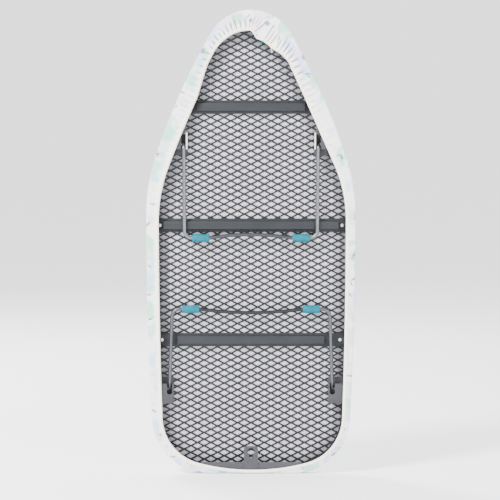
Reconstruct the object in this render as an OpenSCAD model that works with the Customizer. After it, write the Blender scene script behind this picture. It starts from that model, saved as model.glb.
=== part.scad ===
// Tabletop ironing board: a steel mesh top in a pressed rim, three cross bars, two folding wire
// legs on notched brackets, a hanging tab, and a felt pad under a draw-cord cover.
// It stands on its wide end with the nose up: +Z runs to the nose, +Y is the ironing face, and
// the folded legs lie on the -Y side. Depths are counted from the top of the mesh towards -Y.

/* [Board outline] */
// Length from the wide end to the nose
board_l = 730; // [715:5:760]
// Width at the widest place
board_w = 330; // [322:2:338]
// Radius of the two corners of the wide end
corner_r = 90; // [80:2:100]
// Radius of the nose
nose_r = 73; // [68:1:78]
// Radius where the straight side turns into the taper
shoulder_r = 300; // [270:10:330]
// Angle at which the taper starts
shoulder_a = 18.5; // [17:0.5:20]
// Angle at which the taper meets the nose
nose_a = 30; // [28:0.5:32]
// Lean of the long side at the wide end
side_lean = 3; // [2:0.5:3.5]

/* [Rim and mesh] */
// Thickness of the rim's sheet
rim_t = 1.2; // [1:0.1:1.5]
// Depth of the rim, which is the depth of the frame
rim_h = 16; // [16:0.5:18]
// Width of the rim's flange under the mesh
flange_w = 12; // [10:1:13]
// Thickness of the mesh panel
mesh_t = 1.6; // [1.2:0.1:1.6]
// Long way of one opening of the mesh, drawn twice the real size
mesh_long = 42.4; // [36:0.4:60]
// Short way of one opening of the mesh, drawn twice the real size
mesh_short = 21; // [18:0.5:30]
// Width of the mesh's strands
strand_w = 2.2; // [2:0.1:4]

/* [Cross bars] */
// Height of a cross bar, flanges included
bar_w = 21.2; // [20:0.4:23.6]
// Depth of a cross bar's pressed channel
bar_h = 7.2; // [5:0.2:7.2]
// Place of the bar near the nose
bar_nose_z = 578; // [572:2:590]
// Place of the middle bar
bar_middle_z = 392; // [392:1:400]
// Place of the bar near the wide end
bar_rear_z = 211; // [190:1:230]

/* [Legs] */
// Diameter of the leg wire
wire_d = 5.6; // [5:0.2:5.6]
// Place of the nose leg's pivot
nose_pivot_z = 520; // [516:1:520]
// Length of the nose leg from pivot to foot
nose_leg_l = 148; // [144:1:148]
// Half the nose leg's width at the pivot
nose_leg_x = 105.5; // [103:0.5:105.5]
// Half the nose leg's width at the foot
nose_foot_x = 104.5; // [102:0.5:104.5]
// Place of the rear leg's pivot
rear_pivot_z = 134; // [125:1:140]
// Length of the rear leg from pivot to foot
rear_leg_l = 126; // [120:1:130]
// Half the rear leg's width at the pivot
rear_leg_x = 128; // [124:0.5:128]
// Half the rear leg's width at the foot
rear_foot_x = 124.3; // [121:0.5:124.5]
// How far a foot bar bows back between its sleeves
bow = 5.5; // [3:0.5:6]
// Outer diameter of a foot sleeve
sleeve_d = 12.5; // [11:0.5:12.5]
// Length of a foot sleeve
sleeve_l = 27; // [22:1:27]

/* [Covering] */
// Thickness of the cover's cloth with its backing
cloth_t = 1; // [0.8:0.1:1.2]
// Thickness of the felt pad
pad_t = 4; // [3:0.5:6]
// Half the width of the opening that the hem leaves
hem_half = 147; // [147:0.5:149]
// Diameter of the draw cord
cord_d = 2; // [1.6:0.1:2.2]

/* [Hanging tab] */
// Width of the tab
tab_w = 22.5; // [20:0.5:24]
// Height of the tab's free end
tab_top = 43.5; // [42:0.5:48]
// Radius of the keyhole's round part
hole_r = 5.5; // [5:0.1:6]
// Width of the keyhole's narrow part
keyslot_w = 5.5; // [4:0.1:5.6]

/* [Hidden] */

$fn = 48;
eps = 0.01;

// Gaps between pieces, and how far a cut runs past what it cuts
gap = 0.3;
fit = 0.05;
over = 1;

// Depths below the top of the mesh
cover_wall = 1.2;
flange_d0 = mesh_t;
flange_d1 = mesh_t + rim_t;
bar_t = 1;
bar_face = flange_d1 + bar_h;
wire_r = wire_d / 2;
leg_gap = 0.4;
wire_depth = bar_face + leg_gap + wire_r;
plate_t = 1.5;
plate_d1 = rim_h;
plate_d0 = rim_h - plate_t;
lip_d0 = rim_h + gap;
lip_t = 1.2;
lip_d1 = lip_d0 + lip_t;
binding_t = 2.8;
binding_d1 = lip_d0 + binding_t;
sleeve_r = sleeve_d / 2;
deepest = wire_depth + sleeve_r;
highest = -(pad_t + cloth_t);
mid_depth = (deepest + highest) / 2;

// Board outline: each arc is [radius, angle of its normal at the start, at the end, steps]
flank_r = (board_w / 2 - shoulder_r * (1 - cos(shoulder_a)) - nose_r * cos(nose_a))
    / (cos(shoulder_a) - cos(nose_a));
upper_arcs = [
    [shoulder_r, 0, shoulder_a, 6],
    [flank_r, shoulder_a, nose_a, 6],
    [nose_r, nose_a, 90, 10]
];
corner_arc = [corner_r, -90, -side_lean, 12];
side_r = (board_l - run_z(upper_arcs) - run_z([corner_arc])) / sin(side_lean);
board_arcs = concat([corner_arc, [side_r, -side_lean, 0, 5]], upper_arcs);
board_flat = -run_x(board_arcs);

// Outline of the opening that the hem leaves, from its lowest to its highest point
hem_z0 = 6.3;
hem_z1 = 692;
hem_nose_r = 44;
hem_lean = 2;
hem_low_arcs = [[320, -90, -75, 5], [76, -75, -hem_lean, 9]];
hem_flank = [22.5, 25];
hem_bend = [230, 0, hem_flank[0], 6];
hem_tip = [110, hem_flank[1], 55, 5];
hem_nose = [hem_nose_r, 55, 90, 5];
hem_flank_r = (hem_half + run_x([hem_bend, hem_tip, hem_nose])) / (cos(hem_flank[0]) - cos(hem_flank[1]));
hem_high_arcs = [hem_bend, [hem_flank_r, hem_flank[0], hem_flank[1], 5], hem_tip, hem_nose];
hem_side_r = (hem_z1 - hem_z0 - run_z(hem_low_arcs) - run_z(hem_high_arcs)) / sin(hem_lean);
hem_arcs = concat(hem_low_arcs, [[hem_side_r, -hem_lean, 0, 6]], hem_high_arcs);
hem_flat = -run_x(hem_arcs);
binding_w = 4.5;

function sum(v, i = 0) = i < len(v) ? v[i] + sum(v, i + 1) : 0;
function run_x(arcs) = sum([for (t = arcs) t[0] * (cos(t[2]) - cos(t[1]))]);
function run_z(arcs) = sum([for (t = arcs) t[0] * (sin(t[2]) - sin(t[1]))]);
function normal(a) = [cos(a), sin(a)];

// Points of one side, from the wide end's middle to the nose, grown outwards by grow
function arc_steps(c, t, r) = [for (k = [0 : t[3] - 1]) c + r * normal(t[1] + (t[2] - t[1]) * k / t[3])];
function side_points(p, arcs, grow, i = 0) =
    i == len(arcs) ? [p + grow * normal(90)] :
    let (t = arcs[i], c = p - t[0] * normal(t[1]))
    concat(arc_steps(c, t, t[0] + grow), side_points(c + t[0] * normal(t[2]), arcs, grow, i + 1));
function board_side(grow) = side_points([board_flat, 0], board_arcs, grow);
function hem_side(grow) = side_points([hem_flat, hem_z0], hem_arcs, grow);
function mirrored(side) = [for (i = [len(side) - 2 : -1 : 0]) [-side[i][0], side[i][1]]];
function whole(side) = concat(side, mirrored(side));

module board_shape(grow) {
    polygon(whole(board_side(grow)));
}

module hem_shape(grow) {
    polygon(whole(hem_side(grow)));
}

// A flat shape in x and z, thickened from one depth to another
module slab(d0, d1) {
    translate([0, mid_depth - d0, 0])
        rotate([90, 0, 0])
            linear_extrude(height = d1 - d0)
                children();
}

// A point given as x, depth and z
function at(x, depth, z) = [x, mid_depth - depth, z];

function unit(v) = v / norm(v);

// Points round a bend at b between a and c
function fillet(a, b, c, r, steps) =
    let (u = unit(a - b), v = unit(c - b), half = acos(u * v) / 2)
    let (o = b + unit(u + v) * r / sin(half), t = r / tan(half), turn = 180 - 2 * half)
    let (p = b + u * t - o, q = b + v * t - o)
    [for (k = [0 : steps]) o + (p * sin((1 - k / steps) * turn) + q * sin(k / steps * turn)) / sin(turn)];

// A round bar along a path; across is a direction that the path never runs along
module sweep(path, r, sides, across) {
    last = len(path) - 1;
    points = [
        for (i = [0 : last])
            let (t = unit(path[min(i + 1, last)] - path[max(i - 1, 0)]))
            let (s = unit(cross(across, t)), v = cross(t, s))
            for (k = [0 : sides - 1])
                path[i] + r * (cos(360 * k / sides) * s + sin(360 * k / sides) * v)
    ];
    walls = [
        for (i = [0 : last - 1], k = [0 : sides - 1])
            let (n = (k + 1) % sides)
            [i * sides + k, (i + 1) * sides + k, (i + 1) * sides + n, i * sides + n]
    ];
    first_end = [for (k = [0 : sides - 1]) k];
    last_end = [for (k = [sides - 1 : -1 : 0]) last * sides + k];
    polyhedron(points, concat([first_end, last_end], walls), convexity = 8);
}

// A cylinder across the board's thickness
module peg(x, z, r, d0, d1) {
    translate(at(x, d1, z))
        rotate([-90, 0, 0])
            cylinder(r = r, h = d1 - d0);
}

// ---- Rim, mesh and cross bars ----

skin = cover_wall + gap;
rim_in = skin + rim_t;
seat_w = 24;
seat_in = 4;
rivet_r = 1.6;
rivet_head_r = 2.6;
rivet_tail_r = 2.2;
rivet_head_t = 0.9;
bar_rivet_in = 21;
bar_zs = [bar_nose_z, bar_middle_z, bar_rear_z];

// Half the width inside the rim at a height
function rim_half(z) = lookup(z, [for (p = board_side(-rim_in)) [p[1], p[0]]]);
function bar_rivet_x(z) = rim_half(z) + rim_in - bar_rivet_in;

// Flat circles at every rivet
module rivet_marks(r) {
    for (p = concat(bracket_rivets_at, [for (z = bar_zs) [bar_rivet_x(z), z]]), side = [-1, 1])
        translate([side * p[0], p[1]])
            circle(r = r);
}

module frame_rim() {
    color("dimgray")
    union() {
        slab(0, rim_h)
            difference() {
                board_shape(-skin);
                board_shape(-rim_in);
            }
        slab(flange_d0, flange_d1)
            difference() {
                board_shape(-skin - rim_t / 2);
                difference() {
                    board_shape(-rim_in - flange_w);
                    for (z = bar_zs, side = [-1, 1])
                        translate([side * (bar_rivet_x(z) + seat_w / 2 - seat_in), z])
                            square([seat_w, seat_w], center = true);
                }
                rivet_marks(rivet_r + fit);
            }
    }
}

// The real opening is half as long and half as high: this is a coarse stand-in of the same outline
mesh_edge = rim_in + gap;
mesh_border = 3;

module mesh_panel() {
    half_at = [for (p = board_side(-mesh_edge - mesh_border)) [p[1], p[0]]];
    rows = floor(board_l / mesh_short * 2);
    columns = ceil(board_w / mesh_long / 2);
    lowest = mesh_edge + mesh_border + mesh_short / 2;
    color("dimgray")
    slab(0, mesh_t)
        difference() {
            board_shape(-mesh_edge);
            for (j = [1 : rows - 1], i = [-columns : columns]) {
                x = (i + (j % 2) / 2) * mesh_long;
                z = j * mesh_short / 2;
                if (abs(x) + mesh_long / 2 < lookup(z, half_at) && z > lowest && z < board_l - lowest)
                    translate([x, z])
                        opening(mesh_long - 2 * strand_w, mesh_short - strand_w);
            }
            rivet_marks(rivet_tail_r + gap);
        }
}

module opening(w, h) {
    polygon([[w / 2, 0], [0, h / 2], [-w / 2, 0], [0, -h / 2]]);
}

// Hat section across the bar, as height and depth from the rim's flange
bar_crown = 6.2;
bar_foot = 7.4;
hat = [
    [-bar_w / 2, 0], [-bar_foot + bar_t, 0], [-bar_crown + bar_t, bar_h - bar_t],
    [bar_crown - bar_t, bar_h - bar_t], [bar_foot - bar_t, 0], [bar_w / 2, 0],
    [bar_w / 2, bar_t], [bar_foot, bar_t], [bar_crown, bar_h],
    [-bar_crown, bar_h], [-bar_foot, bar_t], [-bar_w / 2, bar_t]
];
bar_nose_end_in = 35.5;
bar_middle_end_in = 27;
bar_rear_end_in = 46;

module cross_bar(z, end_in) {
    end = min(rim_half(z - bar_w / 2), rim_half(z + bar_w / 2)) - gap;
    channel = rim_half(z) + rim_in - end_in;
    tab_l = end - channel + bar_t;
    color("dimgray")
    difference() {
        union() {
            translate(at(-channel, flange_d1, z))
                rotate([90, 0, 90])
                    linear_extrude(height = 2 * channel)
                        polygon([for (p = hat) [-p[1], p[0]]]);
            for (side = [-1, 1])
                slab(flange_d1, flange_d1 + bar_t)
                    translate([side * (end - tab_l / 2), z])
                        square([tab_l, bar_w], center = true);
        }
        for (side = [-1, 1])
            peg(side * bar_rivet_x(z), z, rivet_r + fit, 0, rim_h);
    }
}

module cross_bar_nose() {
    cross_bar(bar_nose_z, bar_nose_end_in);
}

module cross_bar_middle() {
    cross_bar(bar_middle_z, bar_middle_end_in);
}

module cross_bar_rear() {
    cross_bar(bar_rear_z, bar_rear_end_in);
}

// A rivet through the rim's flange and a sheet of thickness t under it
module rivet(x, z, t) {
    d1 = flange_d1 + t;
    peg(x, z, rivet_r, flange_d0 - eps, d1 + eps);
    peg(x, z, rivet_head_r, d1, d1 + rivet_head_t);
    peg(x, z, rivet_tail_r, flange_d0 - rivet_head_t, flange_d0);
}

module cross_bar_rivets() {
    color("silver")
    for (z = bar_zs, side = [-1, 1])
        rivet(side * bar_rivet_x(z), z, bar_t);
}

// ---- Plate and hanging tab at the wide end ----

tail_half = 80;
tail_z1 = 18;
tail_web_half = 60;
tail_web_t = 1.2;

module tail_plate() {
    inner = rim_in + gap;
    color("gray")
    union() {
        slab(plate_d0, plate_d1)
            intersection() {
                board_shape(-inner);
                translate([-tail_half, 0])
                    square([2 * tail_half, tail_z1]);
            }
        slab(flange_d1 + gap, plate_d0 + plate_t / 2)
            translate([-tail_web_half, inner])
                square([2 * tail_web_half, tail_web_t]);
    }
}

tab_z0 = 7;
tab_t = 1.2;
tab_round = 4;
hole_z = 35;
keyslot_z = 27.5;

module hang_tab() {
    color("gray")
    slab(plate_d1, plate_d1 + tab_t)
        difference() {
            union() {
                translate([-tab_w / 2, tab_z0])
                    square([tab_w, tab_top - tab_z0 - tab_round]);
                translate([-tab_w / 2 + tab_round, tab_top - 2 * tab_round])
                    square([tab_w - 2 * tab_round, 2 * tab_round]);
                for (side = [-1, 1])
                    translate([side * (tab_w / 2 - tab_round), tab_top - tab_round])
                        circle(r = tab_round);
            }
            translate([0, hole_z])
                circle(r = hole_r);
            translate([-keyslot_w / 2, keyslot_z])
                square([keyslot_w, hole_z - keyslot_z]);
            translate([0, keyslot_z])
                circle(r = keyslot_w / 2);
        }
}

// ---- Leg brackets ----

// Depth of the pivots, and how far the folded leg lies in front of them
pivot_depth = 7.4;
step = wire_depth - pivot_depth;
nose_knee_l = step;
rear_knee_l = 11;

// Bracket sizes: x counted outwards from the wire, z counted from the pivot towards the foot
bracket_in = 5.9;
bracket_top = 8.5;
bracket_low = 23;
bracket_round = 5;
slot_in = 3.6;
slot_mouth = 5;
slot_r = 4.3;
slot_shift = 0.3;
foot_t = 1.5;
foot_more = 9.5;
nose_slot_low = 10.9;
rear_slot_low = 4.5;
nose_lip_t = 0.9;
nose_wall = 20;
rear_wall = 16.5;
nose_foot_out = 31;
rear_foot_out = 24.5;
bracket_rivets_at = [
    [nose_leg_x + 28, nose_pivot_z - 5], [nose_leg_x + 25.5, nose_pivot_z + 14],
    [rear_leg_x + 21.5, rear_pivot_z - 8], [rear_leg_x + 21.5, rear_pivot_z - 18]
];

module bracket(leg_x, pivot_z, towards_foot, slot_low, wall, foot_out, lip) {
    height = bracket_top + bracket_low;
    color("gray")
    difference() {
        translate([leg_x, 0, pivot_z])
            mirror([0, 0, towards_foot < 0 ? 1 : 0])
                union() {
                    slab(plate_d0, plate_d1)
                        difference() {
                            bracket_face(wall + plate_t, height);
                            bracket_slot(slot_low);
                        }
                    slab(flange_d1, plate_d1 + lip)
                        translate([-bracket_in, -bracket_low + bracket_round])
                            square([plate_t, height - bracket_round]);
                    if (lip > 0)
                        slab(plate_d1 - eps, plate_d1 + lip)
                            translate([-bracket_in, -bracket_low + bracket_round])
                                square([bracket_in - slot_in, height - bracket_round]);
                    slab(flange_d1, plate_d0 + plate_t / 2)
                        translate([wall, -bracket_low])
                            square([plate_t, height]);
                    slab(flange_d1, flange_d1 + foot_t)
                        translate([-bracket_in, -bracket_low + bracket_round])
                            square([bracket_in + foot_out, height - bracket_round + foot_more]);
                }
        translate([leg_x, 0, 0])
            pin(wall - plate_t, wall + 2 * plate_t, pivot_z, wire_r + fit);
        for (p = bracket_rivets_at)
            peg(p[0], p[1], rivet_r + fit, 0, plate_d0);
        slab(0, plate_d0)
            difference() {
                translate([0, pivot_z - 2 * bracket_low])
                    square([board_w, 4 * bracket_low]);
                board_shape(-rim_in - gap);
            }
    }
}

module bracket_face(w, height) {
    translate([-bracket_in, -bracket_low + bracket_round])
        square([bracket_in + w, height - bracket_round]);
    translate([-bracket_in + bracket_round, -bracket_low])
        square([bracket_in + w - bracket_round, 2 * bracket_round]);
    translate([-bracket_in + bracket_round, -bracket_low + bracket_round])
        circle(r = bracket_round);
}

// Open towards the foot, leaning inwards to the round seat that holds the open leg
module bracket_slot(slot_low) {
    polygon([
        [-slot_in, bracket_top + over], [slot_mouth, bracket_top + over],
        [slot_in, -slot_low], [-slot_in, -slot_low]
    ]);
    translate([slot_shift, -slot_low])
        circle(r = slot_r);
}

// A round bar along x at the pivot's depth
module pin(x0, x1, z, r) {
    translate(at(x0, pivot_depth, z))
        rotate([0, 90, 0])
            cylinder(r = r, h = x1 - x0);
}

module nose_bracket() {
    bracket(nose_leg_x, nose_pivot_z, -1, nose_slot_low, nose_wall, nose_foot_out, nose_lip_t);
}

module rear_bracket() {
    bracket(rear_leg_x, rear_pivot_z, 1, rear_slot_low, rear_wall, rear_foot_out, 0);
}

module bracket_nose_left() {
    mirror([1, 0, 0])
        nose_bracket();
}

module bracket_nose_right() {
    nose_bracket();
}

module bracket_rear_left() {
    mirror([1, 0, 0])
        rear_bracket();
}

module bracket_rear_right() {
    rear_bracket();
}

module bracket_rivets() {
    color("silver")
    for (p = bracket_rivets_at, side = [-1, 1])
        rivet(side * p[0], p[1], foot_t);
}

// ---- Legs ----

wire_sides = 16;
facet_fit = 0.02;
pin_start = 5;
pin_lap = 2;
pin_over = 3;
elbow_r = 3.3;
knee_r = 5;
corner_bend = 12;
bow_steps = 12;

// One half of a leg's path, from the pivot pin to the inner end of its sleeve
function leg_half(leg_x, foot_x, pivot_z, foot_z, sleeve_in, knee_l) =
    let (way = foot_z > pivot_z ? 1 : -1)
    let (a = at(leg_x + pin_start + pin_lap, pivot_depth, pivot_z), b = at(leg_x, pivot_depth, pivot_z))
    let (c = at(leg_x, wire_depth, pivot_z + way * knee_l), d = at(foot_x, wire_depth, foot_z))
    let (e = at(sleeve_in, wire_depth, foot_z))
    concat(
        [a],
        fillet(a, b, c, elbow_r, 5),
        fillet(b, c, d, knee_r, 4),
        fillet(c, d, e, corner_bend, 7),
        [e]
    );

function leg_bow(foot_z, back, sleeve_in) = [
    for (k = [1 : bow_steps - 1])
        let (f = 2 * k / bow_steps - 1)
        at(-f * sleeve_in, wire_depth, foot_z + back * (1 - f * f))
];

module leg_wire(leg_x, foot_x, pivot_z, foot_z, sleeve_in, knee_l, wall) {
    half = leg_half(leg_x, foot_x, pivot_z, foot_z, sleeve_in, knee_l);
    other = [for (i = [len(half) - 1 : -1 : 0]) [-half[i][0], half[i][1], half[i][2]]];
    back = foot_z > pivot_z ? -bow : bow;
    union() {
        sweep(concat(half, leg_bow(foot_z, back, sleeve_in), other),
            wire_r - facet_fit, wire_sides, [0, 1, 0]);
        for (side = [0, 1])
            mirror([side, 0, 0])
                pin(leg_x + pin_start, leg_x + wall + plate_t + pin_over, pivot_z, wire_r);
    }
}

nose_foot_z = nose_pivot_z - nose_leg_l;
rear_foot_z = rear_pivot_z + rear_leg_l;
nose_sleeve_in = nose_foot_x - corner_bend - sleeve_l;
rear_sleeve_in = 81.5;

module nose_leg_wire() {
    color("darkgray")
    leg_wire(nose_leg_x, nose_foot_x, nose_pivot_z, nose_foot_z, nose_sleeve_in, nose_knee_l,
        nose_wall);
}

module rear_leg_wire() {
    color("darkgray")
    leg_wire(rear_leg_x, rear_foot_x, rear_pivot_z, rear_foot_z, rear_sleeve_in, rear_knee_l,
        rear_wall);
}

// A soft tube with rounded outer edges
sleeve_round = 1;

module foot_sleeve(x0, z) {
    color("darkturquoise")
    translate(at(x0, wire_depth, z))
        rotate([0, 90, 0])
            rotate_extrude()
                difference() {
                    union() {
                        square([sleeve_r - sleeve_round, sleeve_l]);
                        translate([0, sleeve_round])
                            square([sleeve_r, sleeve_l - 2 * sleeve_round]);
                        for (end = [sleeve_round, sleeve_l - sleeve_round])
                            translate([sleeve_r - sleeve_round, end])
                                circle(r = sleeve_round);
                    }
                    translate([-over, -over])
                        square([over + wire_r + fit, sleeve_l + 2 * over]);
                }
}

module foot_sleeve_nose_left() {
    foot_sleeve(-nose_sleeve_in - sleeve_l, nose_foot_z);
}

module foot_sleeve_nose_right() {
    foot_sleeve(nose_sleeve_in, nose_foot_z);
}

module foot_sleeve_rear_left() {
    foot_sleeve(-rear_sleeve_in - sleeve_l, rear_foot_z);
}

module foot_sleeve_rear_right() {
    foot_sleeve(rear_sleeve_in, rear_foot_z);
}

// ---- Pad, cover and draw cord ----

module felt_pad() {
    color("lavender")
    slab(-pad_t, 0)
        board_shape(-skin);
}

module cover_top() {
    color("white")
    slab(highest, -pad_t)
        board_shape(0);
}

module cover_skirt() {
    color("ivory")
    union() {
        slab(-pad_t, lip_d1)
            difference() {
                board_shape(0);
                board_shape(-cover_wall);
            }
        slab(lip_d0, lip_d1)
            difference() {
                board_shape(-cover_wall / 2);
                hem_shape(binding_w);
            }
    }
}

// The binding is grooved at its back for the cord, and notched where the cord comes out
groove_w = cord_d + 0.4;
groove_t = cord_d + 0.2;
notch = [1, 12];

module hem_binding() {
    middle = binding_w / 2;
    color("ivory")
    difference() {
        slab(lip_d0, binding_d1)
            difference() {
                hem_shape(binding_w);
                hem_shape(0);
            }
        slab(lip_d0 - eps, lip_d0 + groove_t)
            difference() {
                hem_shape(middle + groove_w / 2);
                hem_shape(middle - groove_w / 2);
            }
        slab(lip_d0 - eps, lip_d0 + groove_t)
            translate([notch[0], hem_z1 - binding_w])
                square([notch[1] - notch[0], binding_w + middle]);
    }
}

// The cord is sewn in right of the lock, runs round inside the binding, and leaves it at the nose
lock_x = 18;
lock_depth = 9;
lock_z = 689;
lock_half = 7;
cord_depth = lip_d0 + groove_t / 2;
cord_start_back = 7;
cord_sides = 8;
cord_end = [
    at(4, 16, 693), at(6.5, 13.5, 692), at(9, 11, 690.5),
    at(lock_x - lock_half, lock_depth, lock_z), at(lock_x, lock_depth, lock_z),
    at(lock_x + lock_half, lock_depth, lock_z), at(28, 9.8, 685), at(30.5, 10.8, 677.5),
    at(32, 11.2, 670.5), at(33, 11.5, 663)
];

module draw_cord() {
    side = hem_side(binding_w / 2);
    right = [for (i = [len(side) - cord_start_back : -1 : 0]) at(side[i][0], cord_depth, side[i][1])];
    left = [for (p = side) at(-p[0], cord_depth, p[1])];
    color("white")
    sweep(concat(right, left, cord_end), cord_d / 2, cord_sides, [0, 1, 0]);
}

// ---- Cord lock ----

lock_r = 6;
lock_wall_in = 4.25;
lock_low = 683;
lock_top = 699;
lock_roof = 1.5;
plunger_low = 678;
plunger_top = 693;
plunger_travel = 3;
cord_hole_r = cord_d / 2 + 0.15;

module cord_lock_body() {
    color("darkcyan")
    translate(at(lock_x, lock_depth, lock_low))
        difference() {
            cylinder(r = lock_r, h = lock_top - lock_low);
            translate([0, 0, -over])
                cylinder(r = lock_wall_in, h = lock_top - lock_roof - lock_low + over);
            translate([-lock_r - over, 0, lock_z - lock_low])
                rotate([0, 90, 0])
                    cylinder(r = cord_hole_r, h = 2 * (lock_r + over));
        }
}

module cord_lock_plunger() {
    r = lock_wall_in - fit;
    color("darkcyan")
    translate(at(lock_x, lock_depth, plunger_low))
        difference() {
            cylinder(r = r, h = plunger_top - plunger_low);
            for (drop = [0, plunger_travel])
                translate([-lock_r, 0, lock_z - plunger_low - drop])
                    rotate([0, 90, 0])
                        cylinder(r = cord_hole_r, h = 2 * lock_r);
            translate([-lock_r, -cord_hole_r, lock_z - plunger_low - plunger_travel])
                cube([2 * lock_r, 2 * cord_hole_r, plunger_travel]);
        }
}

spring_wire_r = 0.3;
spring_r = 2.8;
spring_turns = 3.5;
spring_steps = 12;

module cord_lock_spring() {
    z0 = plunger_top + spring_wire_r + fit;
    z1 = lock_top - lock_roof - spring_wire_r - fit;
    count = spring_turns * spring_steps;
    color("silver")
    sweep(
        [
            for (k = [0 : count])
                at(lock_x + spring_r * cos(360 * k / spring_steps),
                    lock_depth + spring_r * sin(360 * k / spring_steps),
                    z0 + (z1 - z0) * k / count)
        ],
        spring_wire_r, cord_sides, [0, 0, 1]
    );
}

frame_rim();
mesh_panel();
cross_bar_nose();
cross_bar_middle();
cross_bar_rear();
cross_bar_rivets();
tail_plate();
hang_tab();
bracket_nose_left();
bracket_nose_right();
bracket_rear_left();
bracket_rear_right();
bracket_rivets();
nose_leg_wire();
rear_leg_wire();
foot_sleeve_nose_left();
foot_sleeve_nose_right();
foot_sleeve_rear_left();
foot_sleeve_rear_right();
felt_pad();
cover_top();
cover_skirt();
hem_binding();
draw_cord();
cord_lock_body();
cord_lock_plunger();
cord_lock_spring();
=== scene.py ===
"""Looks for a tabletop ironing board that stands on its wide end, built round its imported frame."""

import math

import bpy
import numpy as np
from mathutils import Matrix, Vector


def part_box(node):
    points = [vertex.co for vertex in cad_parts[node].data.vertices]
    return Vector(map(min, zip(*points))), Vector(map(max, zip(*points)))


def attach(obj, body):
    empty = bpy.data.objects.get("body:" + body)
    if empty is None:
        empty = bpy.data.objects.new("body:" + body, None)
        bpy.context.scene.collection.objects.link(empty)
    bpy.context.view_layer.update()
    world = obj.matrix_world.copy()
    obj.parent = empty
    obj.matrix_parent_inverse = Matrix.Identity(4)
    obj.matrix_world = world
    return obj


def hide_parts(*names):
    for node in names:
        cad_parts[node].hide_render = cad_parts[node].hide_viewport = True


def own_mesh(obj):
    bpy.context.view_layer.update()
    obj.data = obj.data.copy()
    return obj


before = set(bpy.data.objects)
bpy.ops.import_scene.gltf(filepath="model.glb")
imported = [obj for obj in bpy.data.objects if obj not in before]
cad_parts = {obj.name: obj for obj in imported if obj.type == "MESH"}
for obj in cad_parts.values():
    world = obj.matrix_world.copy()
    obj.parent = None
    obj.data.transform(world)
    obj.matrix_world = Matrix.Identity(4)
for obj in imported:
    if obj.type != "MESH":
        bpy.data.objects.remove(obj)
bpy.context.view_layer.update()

bl_info = {
    "name": "Tabletop Ironing Board",
    "version": (1, 0, 0),
    "blender": (4, 5, 0),
    "location": "3D View > Sidebar > Ironing Board",
    "description": "Builds the cover, mesh, legs and fittings of a tabletop ironing board",
    "category": "Add Mesh",
}

BODY = "board"
MM = 0.001


# ---- Small helpers ----


def mm(value):
    """Millimetres to metres."""
    return value * MM


def linear(code):
    """An sRGB hex colour as linear red, green, blue and a full alpha."""
    parts = [int(code[i:i + 2], 16) / 255 for i in (1, 3, 5)]
    rgb = [c / 12.92 if c <= 0.04045 else ((c + 0.055) / 1.055) ** 2.4 for c in parts]
    return (*rgb, 1.0)


def length_prop(name, description, default_mm):
    """A length that the user can set, from a default in millimetres."""
    return bpy.props.FloatProperty(
        name=name, description=description, default=mm(default_mm), min=0.0, unit="LENGTH"
    )


def angle_prop(name, description, degrees):
    """An angle that the user can set, from a default in degrees."""
    return bpy.props.FloatProperty(
        name=name, description=description, default=math.radians(degrees), unit="ROTATION"
    )


def colour_prop(name, description, code):
    """A colour that the user can set, from an sRGB hex default."""
    return bpy.props.FloatVectorProperty(
        name=name, description=description, default=linear(code), size=4, subtype="COLOR",
        min=0.0, max=1.0,
    )


class BoardSizes(bpy.types.PropertyGroup):
    """Sizes of the soft parts and of the mesh."""

    corner_radius: length_prop("Corner radius", "Radius of the wide end's corners", 90)
    nose_radius: length_prop("Nose radius", "Radius of the nose", 73)
    shoulder_radius: length_prop("Shoulder radius", "Radius where the side starts to taper", 300)
    shoulder_angle: angle_prop("Shoulder angle", "Angle at which the taper starts", 18.5)
    nose_angle: angle_prop("Nose angle", "Angle at which the taper meets the nose", 30)
    side_lean: angle_prop("Side lean", "Lean of the long side at the wide end", 3)
    opening_half: length_prop("Hem opening", "Half the width of the opening in the hem", 147)
    binding_width: length_prop("Binding width", "Width of the hem's gathered binding", 5.2)
    mesh_long: length_prop("Mesh long way", "Length of one opening of the mesh", 21.2)
    mesh_short: length_prop("Mesh short way", "Height of one opening of the mesh", 10.5)
    mesh_strand: length_prop("Mesh strand", "Width of the mesh's strands", 2.3)
    wire_diameter: length_prop("Leg wire", "Diameter of the leg wire", 5.6)


class BoardColours(bpy.types.PropertyGroup):
    """Colours of the finishes."""

    mesh: colour_prop("Mesh", "Powder coat of the mesh and rim", "#1d1e21")
    bar: colour_prop("Bars", "Powder coat of the cross bars", "#242629")
    plate: colour_prop("Plates", "Powder coat of the tail plate and tab", "#3d3e42")
    bracket: colour_prop("Brackets", "Powder coat of the leg brackets", "#36373b")
    # Both legs have one plating: the nose leg's tone is painted lighter and the rear leg's darker,
    # as painted light and shade
    wire_nose: colour_prop("Nose leg", "Satin plating of the nose leg", "#6e7075")
    wire_rear: colour_prop("Rear leg", "Satin plating of the rear leg", "#53555a")
    # The nose brackets' pale inner strip is a painted highlight
    rubbed: colour_prop("Rubbed edge", "Cut edge of the nose brackets, rubbed pale", "#d9d5c6")
    zinc: colour_prop("Rivets", "Zinc plating of the rivets", "#c9cacc")
    sleeve: colour_prop("Foot sleeves", "Vinyl of the foot sleeves", "#005f6f")
    lock: colour_prop("Cord lock", "Plastic of the cord lock", "#00584f")
    felt: colour_prop("Felt", "Needled felt of the pad", "#b3b2ba")
    cotton: colour_prop("Cotton", "Ground of the printed cotton", "#eeedf2")
    binding: colour_prop("Binding", "Cotton tape of the gathered hem", "#fbf9ec")
    print_mint: colour_prop("Print mint", "Mint wash of the print", "#95d6b6")
    print_blue: colour_prop("Print blue", "Pale blue wash of the print", "#aecdea")
    print_grey: colour_prop("Print grey", "Pale grey wash of the print", "#d3d4dc")
    print_lilac: colour_prop("Print lilac", "Pale lilac wash of the print", "#e0cfe6")
    print_leaf: colour_prop("Print leaves", "Grey of the small printed leaves", "#62686e")
    floor: colour_prop("Floor", "Pale floor", "#f4f4f5")


def sizes():
    """The sizes as the user has set them."""
    return bpy.context.scene.ironing_board_sizes


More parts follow.
